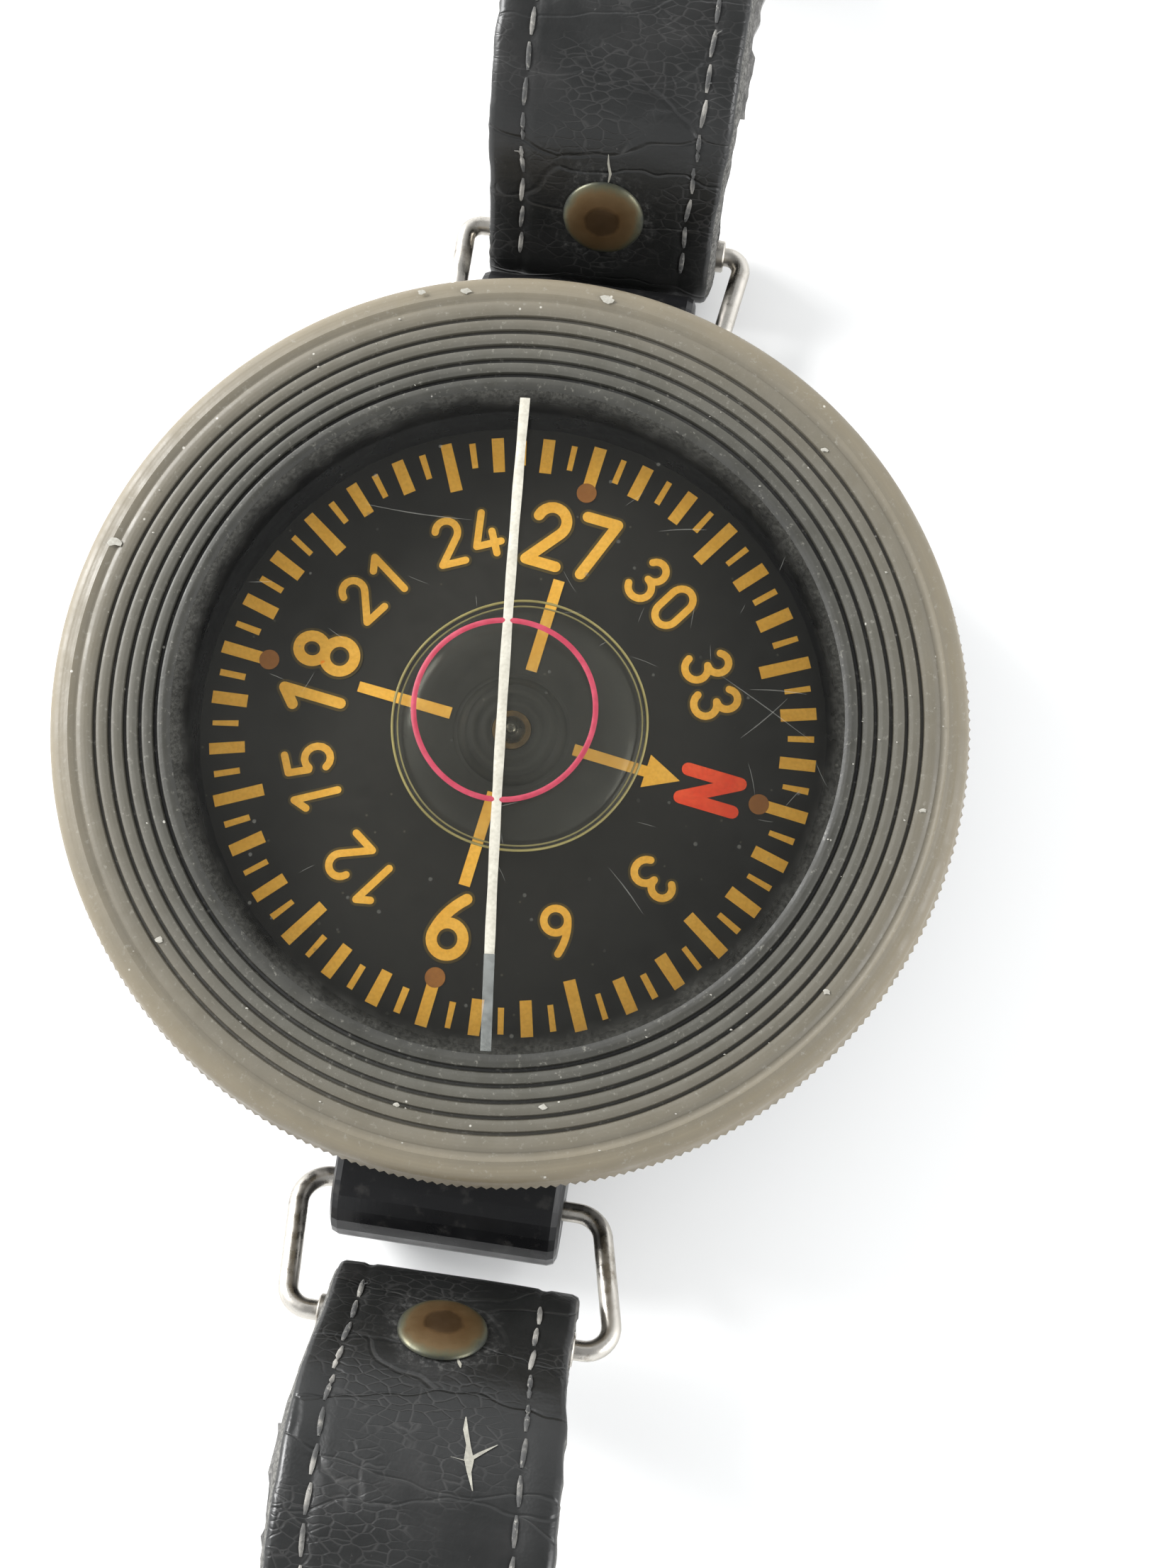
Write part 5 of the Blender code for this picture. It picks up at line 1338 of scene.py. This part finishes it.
def strap_side(side):
    run = strap_run(side)
    place = side.strap_place
    rivet_place = rivet_at(side)
    scuffs = [(rivet_place.translation, 4.4 * MM)]
    outer = leather_band("strap_leather_" + side.name, strap_rows(side, run), 3.0 * side.sign)
    inner = leather_band("strap_suede_" + side.name, lining_rows(side, run), 8.0 * side.sign, False,
                         0.28 * MM)
    if side.sign < 0:
        outer = punched(outer, run, side)
        inner = punched(inner, run, side)
    else:
        outer = slotted(outer, run[-1].y, run[-1].z - BUCKLE_WIRE - LOOP_GAP - LEATHER / 2)
    outer.transform(place)
    inner.transform(place)
    piece("strap_leather_" + side.name, outer, [leather_material("leather_" + side.name, scuffs), RAW_EDGE],
          side.strap_body, ["strap_" + side.name])
    piece("strap_suede_" + side.name, inner, suede_material(), side.strap_body,
          ["strap_lining_" + side.name])
    thread = stitches(side, run)
    thread.transform(place)
    piece("stitches_" + side.name, thread, thread_material(), side.strap_body)
    piece("worn_marks_" + side.name, worn_marks(side, run), WORN, side.strap_body)
    r = RIVET_CAP_RADIUS
    cap = [(r * math.cos(a), 0.08 * MM + 0.72 * MM * math.sin(a)) for a in
           [math.pi / 2 - math.pi / 2 * k / 12 for k in range(13)]]
    cap[0] = (0.0, cap[0][1])
    cap_mesh = revolve("rivet_" + side.name, cap + [(0.97 * r, 0.0), (0.0, 0.0)], 72)
    piece("rivet_" + side.name, cap_mesh, rivet_material(), side.strap_body,
          ["rivet_cap_" + side.name], rivet_place)
    ring_points = ring_path(side)
    mesh = sweep("ring_wire_" + side.name, ring_points, WIRE_RADIUS, True, 20)
    mesh.transform(side.ring_place)
    piece("ring_wire_" + side.name, mesh, STEEL, side.ring_body, ["wire_ring_" + side.name])
    sleeve(side)
    return run


def ring_path(side):
    outer = side.ring_width / 2 - WIRE_RADIUS
    inner = outer - 0.6 * MM
    strap_corner = 0.8 * (outer - LOOP_WIDTH / 2 - 0.6 * MM)
    lug_corner = 0.8 * (inner - LUG_WIDTH / 2 - 0.1 * MM)
    corners = [(-inner, 0), (inner, 0), (side.skew + outer, side.ring_length),
               (side.skew - outer, side.ring_length)]
    loop = rounded_loop(corners, [lug_corner, lug_corner, strap_corner, strap_corner])
    return [(x, y, 0.0) for x, y in loop]


def sleeve(side):
    """Rolled steel sleeve on the ring's outer bar, with softened ends."""
    low, high = WIRE_RADIUS + 0.1 * MM, SLEEVE_RADIUS
    start, end = -LOOP_WIDTH / 2 - 0.05 * MM, LOOP_WIDTH / 2 + 0.5 * MM
    edge = 0.1 * MM
    outline = [(low, end - edge / 2), (low + edge / 2, end), (high - edge, end), (high, end - edge),
               (high, start + edge), (high - edge, start), (low + edge / 2, start), (low, start + edge / 2)]
    mesh = revolve("sleeve_" + side.name, outline, 40)
    mesh.transform(Matrix.Rotation(math.pi / 2, 4, "Y"))
    mesh.transform(side.strap_place)
    piece("sleeve_" + side.name, mesh, STEEL, side.strap_body, ["ring_sleeve_" + side.name])


def buckle(side, run):
    radius = BUCKLE_WIRE + LOOP_GAP + LEATHER / 2
    place = side.strap_place @ Matrix.Translation((0, run[-1].y, run[-1].z - radius))
    half = STRAP_WIDTH / 2 + BUCKLE_SIDE_CLEARANCE + BUCKLE_WIRE
    corners = [(-half, 0), (half, 0), (half, BUCKLE_LENGTH), (-half, BUCKLE_LENGTH)]
    points = [(x, y, 0.0) for x, y in rounded_loop(corners, [BUCKLE_CORNER] * 4)]
    mesh = sweep("buckle_wire", points, BUCKLE_WIRE, True, 20)
    mesh.transform(place)
    piece("buckle_wire", mesh, STEEL, "buckle", ["buckle_frame"])
    wrap = BUCKLE_WIRE + 0.15 * MM + PRONG_RADIUS
    hook = arc((0.0, 0.0), wrap, TAU, math.pi / 2, 26)
    shank = [(BUCKLE_LENGTH * f, wrap) for f in (0.2, 0.4, 0.6, 0.8, 0.95)]
    tip = [(BUCKLE_LENGTH + BUCKLE_WIRE + 0.6 * MM, wrap)]
    mesh = sweep("prong_wire", [(0.0, a, b) for a, b in hook + shank + tip], PRONG_RADIUS, False, 16)
    mesh.transform(place)
    piece("prong_wire", mesh, STEEL, "prong", ["buckle_prong"])
    keeper("keeper_fixed", side.strap_body, side, run, FIXED_KEEPER_FROM_BAR, "fixed_keeper")
    keeper("keeper_loose", "keeper_slider", side, run, SLIDING_KEEPER_FROM_BAR,
           "sliding_keeper")


# ---------------------------------------------------------------- kept CAD nodes

def smooth_group():
    """Shades a faceted solid smooth except over its real edges."""
    group = bpy.data.node_groups.new("smooth_by_angle", "GeometryNodeTree")
    group.interface.new_socket("Geometry", in_out="INPUT", socket_type="NodeSocketGeometry")
    group.interface.new_socket("Geometry", in_out="OUTPUT", socket_type="NodeSocketGeometry")
    start = group.nodes.new("NodeGroupInput")
    end = group.nodes.new("NodeGroupOutput")
    angle = group.nodes.new("GeometryNodeInputMeshEdgeAngle")
    compare = group.nodes.new("FunctionNodeCompare")
    compare.operation = "LESS_THAN"
    compare.inputs[1].default_value = math.radians(34)
    faces = group.nodes.new("GeometryNodeSetShadeSmooth")
    faces.domain = "FACE"
    edges = group.nodes.new("GeometryNodeSetShadeSmooth")
    edges.domain = "EDGE"
    link = group.links.new
    link(angle.outputs["Unsigned Angle"], compare.inputs[0])
    link(start.outputs[0], faces.inputs["Geometry"])
    link(faces.outputs[0], edges.inputs["Geometry"])
    link(compare.outputs[0], edges.inputs["Shade Smooth"])
    link(edges.outputs[0], end.inputs[0])
    return group


def dress(names, material):
    for name in names:
        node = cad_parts[name]
        for slot in node.material_slots:
            slot.link = "OBJECT"
            slot.material = material
        shade = node.modifiers.new("smooth_by_angle", "NODES")
        shade.node_group = SMOOTH


# ---------------------------------------------------------------- build

STEEL = steel_material()
RAW_EDGE = raw_edge_material()
WORN = paint_material("worn_grain", (0.26, 0.25, 0.21), (0.34, 0.33, 0.28), (0.1, 0.095, 0.085))
SMOOTH = smooth_group()
BAKELITE = bakelite_material()
BRASS = brass_material()

dress(["base_body", "capsule_cup"], BAKELITE)
dress(["back_plate"], aluminium_material())
dress(["back_screw_1", "back_screw_2", "back_screw_3", "back_screw_4", "wave_spring", "pivot_needle"], STEEL)
dress(["filler_plug", "pivot_post", "retaining_ring", "card_bush", "magnet_carrier", "rivet_foot_buckle",
       "rivet_foot_holes"], BRASS)
dress(["capsule_gasket", "filler_washer"], rubber_material())
dress(["magnet_left", "magnet_right"], magnet_material())
dress(["jewel_cup"], jewel_material())
dress(["compass_card"], card_material())

housing()
window_marks()
card_paint()
buckle_run = strap_side(BUCKLE_SIDE)
strap_side(HOLES_SIDE)
buckle(BUCKLE_SIDE, buckle_run)


# ---------------------------------------------------------------- stage, light and camera

def stage():
    bm = bmesh.new()
    grid = []
    for i in range(25):
        t = i / 24
        y = -1.6 + 3.2 * t
        grid.append([bm.verts.new((-1.6 + 3.2 * k / 8, y, -0.1 * MM)) for k in range(9)])
    for a, b in zip(grid, grid[1:]):
        bridge(bm, a, b, False)
    floor = bpy.data.objects.new("floor", finish_mesh(bm, "floor"))
    floor.data.materials.append(floor_material())
    bpy.context.scene.collection.objects.link(floor)


def light(name, place, size, power):
    data = bpy.data.lights.new(name, "AREA")
    data.shape = "RECTANGLE"
    data.size, data.size_y = size
    data.energy = power
    obj = linked(name, data)
    direction = Vector((0.0, 0.0, 0.01)) - Vector(place)
    obj.matrix_world = Matrix.Translation(place) @ direction.to_track_quat("-Z", "Y").to_matrix().to_4x4()


def studio():
    world = bpy.data.worlds.new("studio")
    world.use_nodes = True
    nodes, links = world.node_tree.nodes, world.node_tree.links
    direction = nodes.new("ShaderNodeTexCoord")
    split = nodes.new("ShaderNodeSeparateXYZ")
    height = nodes.new("ShaderNodeMapRange")
    height.interpolation_type = "SMOOTHSTEP"
    for key, value in (("From Min", 0.45), ("From Max", 0.9), ("To Min", 1.5), ("To Max", 0.5)):
        height.inputs[key].default_value = value
    links.new(direction.outputs["Generated"], split.inputs[0])
    links.new(split.outputs["Z"], height.inputs["Value"])
    links.new(height.outputs["Result"], nodes["Background"].inputs["Strength"])
    nodes["Background"].inputs["Color"].default_value = (0.96, 0.98, 1.0, 1.0)
    bpy.context.scene.world = world
    bpy.context.scene.view_settings.view_transform = "Standard"
    light("key", (-0.5, 0.2, 0.27), (0.3, 0.3), 8.0)
    light("fill", (0.5, -0.06, 0.3), (0.3, 0.3), 2.5)


def camera():
    data = bpy.data.cameras.new("camera")
    data.sensor_fit = "VERTICAL"
    data.sensor_height = 24.0
    data.lens = 24.0 * 3000 / 2212
    data.clip_start = 0.01
    data.clip_end = 20.0
    obj = linked("camera", data)
    aim = (Matrix.Rotation(math.radians(8.4), 4, "Z") @ Matrix.Rotation(math.radians(1.44), 4, "Y")
           @ Matrix.Rotation(math.radians(8.55), 4, "X"))
    obj.matrix_world = Matrix.Translation((12.1 * MM, -23.1 * MM, 153.0 * MM)) @ aim
    bpy.context.scene.camera = obj


stage()
studio()
camera()
